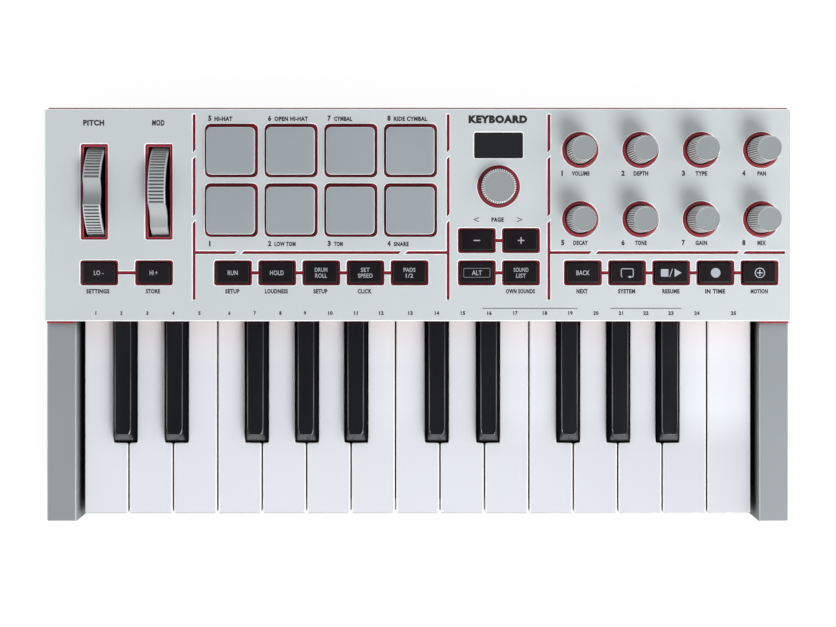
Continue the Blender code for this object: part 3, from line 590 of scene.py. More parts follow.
HALF = 0.65
DIV_X = [-104.9, 14.25, 61.5]
DIV_H = 29.4


def upright(x, hi, lo, cut_hi, cut_lo):
    a, b = (HALF if cut_hi else 0.0), (HALF if cut_lo else 0.0)
    return [(x - HALF, lo - b), (x + HALF, lo + b), (x + HALF, hi + a), (x - HALF, hi - a)]


def level(x0, x1, cut0, cut1):
    a, b, y = (HALF if cut0 else 0.0), (HALF if cut1 else 0.0), DIV_H
    return [(x0 - a, y - HALF), (x1 - b, y - HALF), (x1 + b, y + HALF), (x0 + a, y + HALF)]


def tee(x, hi, lo, left=None, right=None):
    pts = [(x - HALF, lo), (x + HALF, lo)]
    if right is not None:
        pts += [(x + HALF, DIV_H - HALF), (right - HALF, DIV_H - HALF), (right + HALF, DIV_H + HALF), (x + HALF, DIV_H + HALF)]
    pts += [(x + HALF, hi + HALF), (x - HALF, hi - HALF)]
    if left is not None:
        pts += [(x - HALF, DIV_H + HALF), (left + HALF, DIV_H + HALF), (left - HALF, DIV_H - HALF), (x - HALF, DIV_H - HALF)]
    return pts


dividers = []
for x in DIV_X:
    dividers += [upright(x, 94.2, 77.0, False, True), upright(x, 73.8, 46.9, True, True)]
dividers += [
    tee(DIV_X[0], 43.8, 7.25, right=-85.3),
    tee(DIV_X[1], 43.8, 7.25, left=-5.35),
    tee(DIV_X[2], 43.8, 7.25, right=81.1),
    level(-82.2, -8.4, True, True),
    level(84.0, 150.35, True, True),
    level(153.2, 172.3, True, False),
]

# ------------------------------------------------------------------ white top panel
cuts = list(row_cuts)
cuts += [rounded(x - 0.05, y + 0.21, *PAD_CUT, 2.5, 6) for x in PAD_X for y in PAD_Y]
cuts += [circle(c.x, c.y, RING_R) for c in KNOBS.values()]
cuts += [circle(ENC.x, ENC.y, ENC_RING_R, 72)]
cuts += [rounded(c.x, WHEEL_Y, *SLOT_CUT, 0.8, 3) for c, _, _ in WHEELS.values()]
cuts += [rounded(WINDOW.x, WINDOW.y + 0.2, 22.9, 12.1, 0.9, 5)]
cuts += dividers
outline = (
    arc(P_HI.x - 0.6, P_LO.y + 0.6, 0.6, -90, 0, 3)
    + arc(P_HI.x - 1.2, P_HI.y - 1.5, 1.2, 0, 90, 5)
    + arc(P_LO.x + 1.2, P_HI.y - 1.5, 1.2, 90, 180, 5)
    + arc(P_LO.x + 0.6, P_LO.y + 0.6, 0.6, 180, 270, 3)
)
piece("panel_skin", *slab(outline, cuts, P_LO.z, Z_TOP, 0.42, 0.0, 4), PANEL, "chassis", ["top_panel"], "panel_white")

# ------------------------------------------------------------------ red plate, with lands that rise into the cut-outs
holes = [rounded(c.x, c.y, *BTN_HOLE, 0.5, 3) for c in BUTTONS.values()]
holes += [rounded(x - 0.12, y - 0.08, *PAD_HOLE, 2.2, 5) for x in PAD_X for y in PAD_Y]
holes += [circle(c.x, c.y, 3.8, 32) for c in KNOBS.values()]
holes += [circle(ENC.x, ENC.y, 3.8, 32)]
holes += [rounded(c.x, WHEEL_Y, *SLOT_HOLE, 0.4, 2) for c, _, _ in WHEELS.values()]
holes += [rounded(WINDOW.x, WINDOW.y, 25.2, 14.1, 0.5, 3)]
A_TOP = 35.5
edge = [
    (-174.6, A_LO.y - 0.55),
    (-CHEEK - 0.2, A_LO.y - 0.55),
    (-CHEEK - 0.2, A_LO.y + 0.5),
    (CHEEK + 0.2, A_LO.y + 0.5),
    (CHEEK + 0.2, A_LO.y - 0.55),
    (174.6, A_LO.y - 0.55),
    (174.6, A_HI.y - 1.0),
    (173.6, A_HI.y),
    (-173.6, A_HI.y),
    (-174.6, A_HI.y - 1.0),
]
parts = [slab(edge, holes, 33.9, A_TOP, 0.15, 0.0, 2)]
LAND = 37.1
G = 0.015
for row, cut in zip(ROWS, row_cuts):
    parts.append(
        slab(inset(cut, G), [rounded(BUTTONS[n].x, BUTTONS[n].y, *BTN_HOLE, 0.5, 3) for n in row], 35.3, LAND, 0.2, 0.0, 2)
    )
for x in PAD_X:
    for y in PAD_Y:
        parts.append(
            slab(inset(rounded(x - 0.05, y + 0.21, *PAD_CUT, 2.5, 6), G), [rounded(x - 0.12, y - 0.08, *PAD_HOLE, 2.2, 6)], 35.3, LAND, 0.3, 0.0, 3)
        )
for c, _, _ in WHEELS.values():
    parts.append(
        slab(inset(rounded(c.x, WHEEL_Y, *SLOT_CUT, 0.8, 4), G), [rounded(c.x, WHEEL_Y, *SLOT_HOLE, 0.4, 4)], 35.3, LAND + 0.1, 0.25, 0.0, 3)
    )
for d in dividers:
    parts.append(slab(inset(d, G), [], 35.3, LAND, 0.15, 0.0, 2))


def ring(x, y, rb, r0, r1, z0, z1, n=72):
    """A ring land whose crest lies between radii r0 and r1, dished down to radius rb inside."""
    q = 0.42
    prof = [(r1, z0), (r1, z1 - q)]
    prof += [
        (r1 - q + q * math.cos(math.radians(a)), z1 - q + q * math.sin(math.radians(a)))
        for a in (22, 45, 67, 90)
    ]
    prof += [(r0 + 0.25, z1), (r0, z1 - 0.06), (r0 - 0.3, z1 - 0.25)]
    prof += [((r0 - 0.3) + (rb - r0 + 0.3) * k / 4, (z1 - 0.25) + (z0 + 0.3 - z1 + 0.25) * (k / 4) ** 0.8) for k in (1, 2, 3, 4)]
    prof += [(rb, z0)]
    verts, faces = [], []
    for i in range(n):
        t = 2 * math.pi * i / n
        verts += [(x + r * math.cos(t), y + r * math.sin(t), z) for r, z in prof]
    m = len(prof)
    for i in range(n):
        a, b = i * m, ((i + 1) % n) * m
        for k in range(m):
            l = (k + 1) % m
            faces.append((a + k, b + k, b + l, a + l))
    return verts, faces


for c in KNOBS.values():
    parts.append(ring(c.x, c.y, 6.5, 7.3, RING_R - G, 35.3, 37.45))
parts.append(ring(ENC.x, ENC.y, 8.5, 8.75, ENC_RING_R - G, 35.3, 37.3, 80))
# skirt that hangs over the keys between the black ones
BLACKS = [n for n in frame["nodes"] if n.startswith("black_key_")]
stops = [-CHEEK + 0.8]
for n in sorted(BLACKS, key=lambda n: centre(n)[0].x):
    c = centre(n)[0]
    stops += [c.x - 5.9, c.x + 5.9]
stops.append(CHEEK - 0.8)
for a, b in zip(stops[0::2], stops[1::2]):
    parts.append(box(a, b, -2.7, -1.3, 28.2, 34.7, 0.2))
piece("accent_skin", *join(parts), RED, "chassis", ["accent_plate"], "plate_red", 40.0)

# ------------------------------------------------------------------ display
c = WINDOW
parts = [
    slab(rounded(c.x, c.y, 24.5, 13.4, 0.5, 3), [], 34.0, 35.45),
    slab(rounded(c.x, c.y + 0.2, 22.86, 12.06, 0.88, 5), [], 35.3, 37.3, 0.06, 0.0, 2),
]
piece("display_pane", *join(parts), GLASS, "chassis", ["display_window"], "window_black")

# ------------------------------------------------------------------ drum pads
parts = [slab(rounded((S_LO.x + S_HI.x) / 2, (S_LO.y + S_HI.y) / 2, S_HI.x - S_LO.x, S_HI.y - S_LO.y, 1.5, 3), [], S_LO.z, S_LO.z + 1.2, 0.2, 0.2, 1)]
for x in PAD_X:
    for y in PAD_Y:
        levels = []
        for z, d in ((33.0, 0.0), (39.95, 0.0), (40.12, 0.03), (40.25, 0.11), (40.33, 0.24), (40.36, 0.42)):
            levels.append(at(inset(rounded(x - 0.12, y - 0.08, *PAD_SIZE, 2.3, 8), d), z))
        # a crown too slight to see except in the way light rolls over it
        for k in range(1, 6):
            s = 1 - k / 6
            base = inset(rounded(x - 0.12, y - 0.08, *PAD_SIZE, 2.3, 8), 0.42)
            levels.append([(x + (px - x) * s, y + (py - y) * s, PAD_TOP - 0.04 * s * s) for px, py in base])
        parts.append(loft(levels))
piece("pad_skin", *join(parts), PADM, "pad_sheet", ["pad_sheet"], "pad_silicone", 50.0)

# ------------------------------------------------------------------ buttons
for name, c in BUTTONS.items():
    w, h = BTN_CAP
    levels = [
        at(rounded(c.x, c.y, 17.4, 11.4, 0.8, 3), 32.0),
        at(rounded(c.x, c.y, 17.4, 11.4, 0.8, 3), 33.6),
        at(rounded(c.x, c.y, w, h, 0.7, 3), 33.6),
        at(rounded(c.x, c.y, w, h, 0.7, 3), BTN_TOP - 0.36),
        at(inset(rounded(c.x, c.y, w, h, 0.7, 3), 0.06), BTN_TOP - 0.22),
        at(inset(rounded(c.x, c.y, w, h, 0.7, 3), 0.17), BTN_TOP - 0.11),
        at(inset(rounded(c.x, c.y, w, h, 0.7, 3), 0.34), BTN_TOP - 0.03),
        at(inset(rounded(c.x, c.y, w, h, 0.7, 3), 0.52), BTN_TOP),
    ]
    piece(name + "_cap", *loft(levels), BUTTON, name, [name], "button_black", 40.0)


# ------------------------------------------------------------------ knobs
def fluted(x, y, r, teeth, depth, n_per=6):
    n = teeth * n_per
    out = []
    for i in range(n):
        t = 2 * math.pi * i / n
        drop = (0.0, 0.12, 0.85, 1.0, 0.85, 0.12)[i % n_per] * depth
        out.append((x + (r - drop) * math.cos(t), y + (r - drop) * math.sin(t)))
    return out


def knob(c, r0, r1, z0, z1, teeth, depth, lip):
    """The ribbed skirt and the plain face of a knob; the ribs run out just under the face, which is lip narrower than them."""
    n = teeth * 6
    rr = lambda z: r0 + (r1 - r0) * (z - z0) / (z1 - z0)
    face = r1 - lip
    # crest values: ridges high and grooves low, for painted highlights on the ribs and painted shade between them;
    # the ring at the face's edge is all high, a painted highlight
    plain_ring = [0.5] * n
    ridges = [(1.0, 0.92, 0.22, 0.0, 0.22, 0.92)[i % 6] for i in range(n)]
    painted_highlight_ring = [1.0] * n
    stack = [
        (circle(c.x, c.y, 3.0, n), z0 - 6.5, plain_ring),
        (circle(c.x, c.y, 3.0, n), z0 + 0.2, plain_ring),
        (circle(c.x, c.y, rr(z0) - 0.6, n), z0, plain_ring),
        (circle(c.x, c.y, rr(z0) - 0.15, n), z0 + 0.2, plain_ring),
        (circle(c.x, c.y, rr(z0) - 0.02, n), z0 + 0.7, plain_ring),
        (fluted(c.x, c.y, rr(z0 + 1.0), teeth, depth), z0 + 1.0, ridges),
        (fluted(c.x, c.y, rr(z1 - 0.9), teeth, depth), z1 - 0.9, ridges),
        (fluted(c.x, c.y, rr(z1 - 0.45) - 0.06, teeth, depth * 0.85), z1 - (0.45 if lip < 0.4 else 0.32), ridges),
        (circle(c.x, c.y, face, n), z1 - 0.22, painted_highlight_ring),
        (circle(c.x, c.y, face - 0.4, n), z1 - 0.22, plain_ring),
    ]
    skirt = loft([at(loop, z) for loop, z, _ in stack], cap1=False)
    crest = [value for _, _, values in stack for value in values]
    m = 64
    rings = [
        (face - 0.02, z1 - 0.3),
        (face - 0.02, z1 - 0.14),
        (face - 0.07, z1 - 0.04),
        (face - 0.18, z1),
        (face - 0.30, z1 - 0.02),
        (face - 0.42, z1 - 0.12),
        (face - 0.6, z1 - 0.15),
        (face * 0.5, z1 - 0.15),
    ]
    verts, faces = [], []
    for r, z in rings:
        verts += at(circle(c.x, c.y, r, m), z)
    verts.append((c.x, c.y, z1 - 0.15))
    for k in range(len(rings) - 1):
        for i in range(m):
            p, q = k * m + i, k * m + (i + 1) % m
            faces.append((p, q, q + m, p + m))
    top = (len(rings) - 1) * m
    for i in range(m):
        faces.append((top + i, top + (i + 1) % m, len(verts) - 1))
    return skirt, crest, (verts, faces)


for name, c in KNOBS.items():
    skirt, crest, face = knob(c, 6.3, 5.85, 36.0, 53.5, 36, 0.55, 0.26)
    piece(name + "_skirt", *skirt, RIB, name, [name], "knob_grey", 25.0, crest)
    piece(name + "_face", *face, KNOB, name, slot="knob_grey", sharp=50.0)
skirt, crest, face = knob(ENC, 8.15, 8.1, 36.6, 43.0, 46, 0.75, 0.72)
piece("encoder_skirt", *skirt, RIB, "encoder_knob", ["encoder_knob"], "knob_grey", 25.0, crest)
piece("encoder_face", *face, KNOB, "encoder_knob", slot="knob_grey", sharp=50.0)


# ------------------------------------------------------------------ wheels
def wheel(x, dimple, lo, hi, name):
    """A ribbed rim with a smooth thumb dip and plain edge bands, over a narrower dark core with its hub and axle."""
    step = 3.86
    half = 14.5
    xs = [-3.85, -3.77, -3.58, -3.34, -3.22, 3.5, 3.62, 3.9, 4.12, 4.2]
    ribbed = [False, False, False, False, True, True, False, False, False, False]
    drop = [0.34, 0.10, 0.0, 0.0, 0.0, 0.0, 0.0, 0.0, 0.10, 0.34]
    marks = []
    a = dimple + half + step * (0.62 if dimple < 10 else 3.62)
    while a < hi - 1.5:
        marks.append(a)
        a += step
    a = dimple - half - step * 0.62
    while a > lo + 1.5:
        marks.append(a)
        a -= step
    # (angle, depth of the ribbed band there)
    stations = []
    for m in marks:
        stations += [(m - 1.05, 0.08), (m - 0.9, 0.28), (m - 0.5, 0.75), (m + 0.5, 0.75), (m + 0.9, 0.28), (m + 1.05, 0.08)]
        stations += [(m + 1.45, 0.0), (m - 1.45, 0.0)]
    for k in range(33):
        d = -half + 2 * half * k / 32
        stations.append((dimple + d, 0.0))
    reach = max([half + 0.3] + [abs(m - dimple) + 1.5 for m in marks])
    stations += [(lo, 0.0), (hi, 0.0)]
    stations = sorted(set((round(a, 4), d) for a, d in stations if lo <= a <= hi))

    verts, faces, crest = [], [], []
    w = len(xs)
    for a, cut in stations:
        t = math.radians(a)
        off = abs(a - dimple)
        dip = 2.5 * (1 - (off / half) ** 2) if off < half else 0.0
        for dx, band, d in zip(xs, ribbed, drop):
            r = WHEEL_R - d - dip - (cut if band else 0.0)
            verts.append((x + dx, WHEEL_Y - r * math.sin(t), WHEEL_Z + r * math.cos(t)))
            # crest values: high on the ribs and edge bands for painted highlights, low in the grooves for painted
            # shade, neutral in the dip
            crest.append(0.5 if off < half + 0.5 else 0.72 - cut * 0.9 if band else 0.85)
    n = len(stations)
    for i in range(n - 1):
        for k in range(w - 1):
            p = i * w + k
            faces.append((p, p + w, p + w + 1, p + 1))
    # inside of the rim, a constant wall under the dip
    base = len(verts)
    for a, _ in stations:
        t = math.radians(a)
        off = abs(a - dimple)
        dip = 2.5 * (1 - (off / half) ** 2) if off < half else 0.0
        r = WHEEL_R - 1.5 - dip
        for dx in (-3.85, 4.2):
            verts.append((x + dx, WHEEL_Y - r * math.sin(t), WHEEL_Z + r * math.cos(t)))
            crest.append(0.5)
    for i in range(n - 1):
        p, q = i * w, (i + 1) * w
        a0, b0 = base + 2 * i, base + 2 * (i + 1)
        faces.append((p, a0, b0, q))
        faces.append((p + w - 1, q + w - 1, b0 + 1, a0 + 1))
        faces.append((a0, a0 + 1, b0 + 1, b0))
    for i, flip in ((0, False), (n - 1, True)):
        loop = [i * w + k for k in range(w)] + [base + 2 * i + 1, base + 2 * i]
        faces.append(tuple(reversed(loop)) if flip else tuple(loop))
    rim = (verts, faces)
    # narrower core that carries the rim
    profile = []
    for k in range(49):
        a = lo + 1.0 + (hi - lo - 2.0) * k / 48
        t = math.radians(a)
        off = abs(a - dimple)
        dip = 2.5 * (1 - (off / half) ** 2) if off < half else 0.0
        r = WHEEL_R - 1.3 - dip
        profile.append((WHEEL_Y - r * math.sin(t), WHEEL_Z + r * math.cos(t)))
    for k in range(25):
        a = hi + 30.0 + (360.0 - hi + lo - 60.0) * k / 24
        t = math.radians(a)
        profile.append((WHEEL_Y - 7.0 * math.sin(t), WHEEL_Z + 7.0 * math.cos(t)))
    core = [prism_x(ccw(profile), x - 2.4, x + 2.4, 0.0)]
    core.append(tube_x(x - 3.85, x + 4.2, WHEEL_Y, WHEEL_Z, 7.0, 48))
    core.append(tube_x(x - 8.8, x + 8.8, WHEEL_Y, WHEEL_Z, 3.0, 32))
    piece(name + "_core", *join(core), DARK, name, [name], "wheel_grey", 28.0)
    return piece(name + "_rim", *rim, WHEEL, name, [name], "wheel_grey", 24.0, crest)


def tube_x(x0, x1, y, z, r, n):
    ringpts = [(y + r * math.cos(2 * math.pi * i / n), z + r * math.sin(2 * math.pi * i / n)) for i in range(n)]
    verts = [(x0, a, b) for a, b in ringpts] + [(x1, a, b) for a, b in ringpts]
    faces = [(i, (i + 1) % n, (i + 1) % n + n, i + n) for i in range(n)]
    faces.append(tuple(reversed(range(n))))
    faces.append(tuple(range(n, 2 * n)))
    return verts, faces


wheel(WHEELS["pitch_wheel"][0].x, 0.0, -88.0, 88.0, "pitch_wheel")
wheel(WHEELS["mod_wheel"][0].x, 28.5, -60.0, 116.0, "mod_wheel")

# ------------------------------------------------------------------ keys
PIV_Y, PIV_Z = 6.5, 21.0


def tail_profile(z0, z1):
    """The clip at a key's rear end: a block with a keyhole that snaps on the pivot rod."""
    half = math.degrees(math.asin(1.25 / 1.8))
    pts = [(2.0, z0), (PIV_Y - 1.25, z0)]
    pts += [p for p in reversed(arc(PIV_Y, PIV_Z, 1.8, -90 + half, 270 - half, 20))]
    pts += [(PIV_Y + 1.25, z0), (9.7, z0), (9.7, z1 - 0.6), (9.1, z1), (2.0, z1)]
    return pts


PITCH, GAP, X_KEYS = 21.2, 0.68, -7.5 * 21.2
KEY_FRONT, KEY_REAR, KEY_CUT = KEY_FRONT_M / MM, 3.0, -61.3
WHITES = sorted((n for n in frame["nodes"] if n.startswith("white_key_")), key=lambda n: centre(n)[0].x)
BLACKS = sorted(BLACKS, key=lambda n: centre(n)[0].x)
black_x = {}
for n in BLACKS:
    cx = centre(n)[0].x
    black_x[round((cx - X_KEYS) / PITCH)] = cx


def white_outline(x0, x1, left, right, d=0.0, r=1.0, rc=0.9):
    f, b, c = KEY_FRONT + d, KEY_REAR - d, KEY_CUT - d
    x0, x1 = x0 + d, x1 - d
    r, rc = max(0.15, r - d), max(0.15, rc - d * 0.5)
    pts = arc(x0 + r, f + r, r, 180, 270, 5) + arc(x1 - r, f + r, r, 270, 360, 5)
    if right is not None:
        right -= d
        pts += arc(x1 - rc, c - rc, rc, 0, 90, 3)
        q = 0.4
        pts += [(right + q, c), (right, c + q)]
        pts += [(right, b)]
    else:
        pts += [(x1, b)]
    if left is not None:
        left += d
        q = 0.4
        pts += [(left, b), (left, c + q), (left - q, c)]
        pts += arc(x0 + rc, c - rc, rc, 90, 180, 3)
    else:
        pts += [(x0, b)]
    return pts


for i, name in enumerate(WHITES):
    x0 = X_KEYS + i * PITCH + GAP / 2
    x1 = x0 + PITCH - GAP
    left = black_x[i] + 5.6 if i in black_x else None
    right = black_x[i + 1] - 5.6 if i + 1 in black_x else None
    outer = [at(white_outline(x0, x1, left, right), 15.5)]
    R = 0.55
    for k in range(5):
        a = math.pi / 2 * k / 4
        outer.append(at(white_outline(x0, x1, left, right, R * (1 - math.cos(a))), 27.0 - R * (1 - math.sin(a))))
    inner_loop = white_outline(x0, x1, left, right, 1.4)
    inner = [at(inner_loop, 15.5), at(inner_loop, 25.0)]
    t0 = (x0 if left is None else left) + 1.6
    t1 = (x1 if right is None else right) - 1.6
    parts = [cover(outer, inner), prism_x(tail_profile(18.0, 24.2), t0, t1, 0.15)]
    piece(name + "_top", *join(parts), WHITE, name, [name], "key_white", 30.0)

for name in BLACKS:
    c = centre(name)[0]

    def footprint(hw, front, rear, rx, ry, n=10):
        """Key outline whose front corners are quarter ellipses rx by ry."""
        left = [(c.x - hw + rx - rx * math.cos(math.pi / 2 * k / n), front + ry - ry * math.sin(math.pi / 2 * k / n)) for k in range(n + 1)]
        right = [(2 * c.x - px, py) for px, py in reversed(left)]
        return [(c.x - hw, rear)] + left + right + [(c.x + hw, rear)]

    outer = [
        at(footprint(hw, front, rear, rx, ry), z)
        for z, hw, front, rear, rx, ry in (
            (18.0, 5.1, -60.7, 3.0, 0.6, 0.6),
            (27.0, 5.1, -60.6, 3.0, 0.8, 0.8),
            (28.6, 5.02, -60.4, 2.9, 1.1, 1.1),
            (29.5, 4.92, -60.05, 2.8, 1.35, 1.4),
            (30.35, 4.76, -59.5, 2.7, 1.5, 1.7),
            (31.7, 4.42, -58.2, 2.3, 1.6, 2.4),
            (32.6, 4.14, -57.35, 2.0, 1.6, 2.8),
            (33.0, 3.96, -57.0, 1.8, 1.5, 3.0),
            (33.2, 3.80, -56.8, 1.6, 1.4, 3.1),
            (33.33, 3.63, -56.6, 1.4, 1.3, 3.1),
            (33.4, 3.45, -56.4, 1.2, 1.2, 3.0),
        )
    ]
    inner_loop = footprint(3.7, -59.2, 1.6, 0.5, 0.5)
    inner = [at(inner_loop, 18.0), at(inner_loop, 26.0)]
    parts = [cover(outer, inner), prism_x(tail_profile(18.6, 24.2), c.x - 3.5, c.x + 3.5, 0.15)]
    piece(name + "_top", *join(parts), BLACK, name, [name], "key_black", 38.0)

# ------------------------------------------------------------------ case
W2 = C_HI.x
u_shape = (
    [(-CHEEK, C_LO.y), (-CHEEK, -1.0), (-W2 + 2.5, -1.0), (-W2 + 2.5, C_HI.y - 2.5), (W2 - 2.5, C_HI.y - 2.5), (W2 - 2.5, -1.0), (CHEEK, -1.0), (CHEEK, C_LO.y)]
    + arc(W2 - 0.8, C_LO.y + 0.8, 0.8, 270, 360, 4)
    + arc(W2 - 1.2, C_HI.y - 1.2, 1.2, 0, 90, 5)
    + arc(-W2 + 1.2, C_HI.y - 1.2, 1.2, 90, 180, 5)
    + arc(-W2 + 0.8, C_LO.y + 0.8, 0.8, 180, 270, 4)
)


def plain(name, verts, faces):
    mesh = bpy.data.meshes.new(name)
    mesh.from_pydata([(x * MM, y * MM, z * MM) for x, y, z in verts], [], faces)
    mesh.update()
    obj = bpy.data.objects.new(name, mesh)
    COL.objects.link(obj)
    return obj


def carve(name, start, steps):
    """Boolean steps with the exact solver; returns the finished vertices and faces in millimetres."""
    obj = plain(name, *start)
    extras = []
    for k, (operation, data) in enumerate(steps):
        other = plain(f"{name}_step_{k}", *data)
        extras.append(other)
        m = obj.modifiers.new(f"step_{k}", "BOOLEAN")
        m.operation, m.solver, m.object = operation, "EXACT", other
    bpy.context.view_layer.update()
    graph = bpy.context.evaluated_depsgraph_get()
    done = obj.evaluated_get(graph).to_mesh()
    verts = [tuple(v.co / MM) for v in done.vertices]
    faces = [tuple(p.vertices) for p in done.polygons]
    obj.evaluated_get(graph).to_mesh_clear()
    for o in extras + [obj]:
        bpy.data.objects.remove(o, do_unlink=True)
    return verts, faces


floor_outline = [
    (-CHEEK - 0.6, -96.9), (CHEEK + 0.6, -96.9), (CHEEK + 0.6, -0.4), (W2 - 2.0, -0.4),
    (W2 - 2.0, C_HI.y - 2.0), (-W2 + 2.0, C_HI.y - 2.0), (-W2 + 2.0, -0.4), (-CHEEK - 0.6, -0.4),
]
BOSSES = [(-166.0, 5.0), (166.0, 5.0), (-166.0, 34.0), (-98.0, 88.0), (4.0, 88.0), (166.0, 88.0)]
FEET = [(-160.0, -84.0), (160.0, -84.0), (-160.0, 84.0), (160.0, 84.0)]
posts = [slab(circle(x, y, 3.4, 32), [], 4.2, 25.8, 0.3, 0.0, 1) for x, y in BOSSES]
for c, _, _ in WHEELS.values():
    for side in (-1, 1):
        cx = c.x + side * 6.9
        posts.append(box(cx - 1.3, cx + 1.3, WHEEL_Y - 6.0, WHEEL_Y + 6.0, 4.2, 23.6))
bores = [slab(circle(x, y, 1.9, 24), [], 1.0, 16.0) for x, y in BOSSES]
bores += [tube_x(c.x - 9.2, c.x + 9.2, WHEEL_Y, WHEEL_Z, 3.35, 32) for c, _, _ in WHEELS.values()]
bores.append(along_y(*slab(circle(19.5, 19.6, 5.0, 48), [], 93.0, 99.0)))
bores.append(along_y(*slab(circle(45.0, 22.6, 3.3, 40), [], 93.0, 99.0)))
bores.append(along_y(*slab(rounded(70.0, 24.4, 9.4, 3.8, 1.8, 8), [], 93.0, 99.0)))
case = carve(
    "case_shape",
    slab(u_shape, [], 2.5, C_HI.z, 0.5, 0.0, 3),
    [
        ("UNION", slab(floor_outline, [], 2.5, 5.0)),
        ("UNION", box(-CHEEK - 0.4, CHEEK + 0.4, -96.9, -91.7, 3.0, 8.4)),
        ("UNION", join(posts)),
        ("DIFFERENCE", join(bores)),
        ("DIFFERENCE", join([slab(circle(x, y, 7.3, 48), [], 1.0, 3.1) for x, y in FEET])),
    ],
)
piece("case_shell", *case, CASE, "chassis", ["bottom_case"], "case_grey", 30.0)

for i, (x, y) in enumerate(FEET):
    levels = [at(circle(x, y, r, 48), z) for r, z in ((5.6, 0.25), (6.0, 0.02), (6.5, 0.0), (6.85, 0.15), (7.0, 0.5), (7.0, 3.1))]
    levels = [at(circle(x, y, r, 48), z) for r, z in ((6.3, 0.0), (6.8, 0.12), (7.0, 0.5), (7.0, 3.05))]
    piece(f"rubber_foot_{i + 1}", *loft(levels), RUBBER, "chassis")


def screw(name, x, y, z):
    """A pan head seen from below, with a cross recess."""
    cross = []
    for k in range(4):
        t = math.radians(90 * k)
        for px, py in ((0.22, 0.22), (1.0, 0.2), (1.0, -0.2)):
            cross.append((x + px * math.cos(t) - py * math.sin(t) * -1, y + px * math.sin(t) + py * math.cos(t) * -1))
    cross = ccw(sorted_loop(cross, x, y))
    v, f = slab(circle(x, y, 1.75, 32), [cross], z, z + 0.8, 0.0, 0.25, 2)
    v2, f2 = slab(circle(x, y, 1.6, 24), [], z + 0.6, z + 3.0)
    return piece(name, *join([(v, f), (v2, f2)]), SCREW, "chassis")


def sorted_loop(pts, x, y):
    return sorted(pts, key=lambda p: math.atan2(p[1] - y, p[0] - x))


for i, (x, y) in enumerate(BOSSES):
    screw(f"case_screw_{i + 1}", x, y, 3.0)

# sockets in the rear wall
def ring_y(x, z, r0, r1, y0, y1, n=48, r=0.25):
    return along_y(*slab(circle(x, z, r1, n), [circle(x, z, r0, n)], y0, y1, r, 0.0, 2))


piece("footswitch_bushing", *ring_y(19.5, 19.6, 3.3, 4.9, 90.0, 97.4), DARK, "chassis")
piece("footswitch_contact", *ring_y(19.5, 19.6, 3.0, 3.35, 88.0, 96.4), STEEL, "chassis")
piece("midi_bushing", *ring_y(45.0, 22.6, 1.9, 3.2, 90.0, 97.3), DARK, "chassis")
piece("midi_contact", *ring_y(45.0, 22.6, 1.75, 1.95, 90.0, 96.6), STEEL, "chassis")
usb = along_y(*slab(rounded(70.0, 24.4, 8.9, 3.25, 1.55, 8), [rounded(70.0, 24.4, 8.3, 2.65, 1.25, 8)], 89.0, 96.9, 0.1, 0.0, 2))
piece("usb_shell", *usb, STEEL, "chassis")
piece("usb_tongue", *box(66.7, 73.3, 90.0, 95.9, 24.05, 24.75, 0.1), DARK, "chassis")
plugs = [
    along_y(*slab(circle(19.5, 19.6, 3.6, 24), [], 88.5, 90.2)),
    along_y(*slab(circle(45.0, 22.6, 2.2, 24), [], 88.5, 90.2)),
    along_y(*slab(rounded(70.0, 24.4, 8.6, 3.0, 1.4, 6), [], 88.5, 89.4)),
]
piece("socket_backs", *join(plugs), DARK, "chassis")

# carried-over CAD nodes get their finish
for n, m in (("key_frame", DARK), ("circuit_boards", BOARD), ("encoder_shaft", STEEL)):
    o = frame["nodes"][n]
    o.data.materials.clear()
    o.data.materials.append(m)

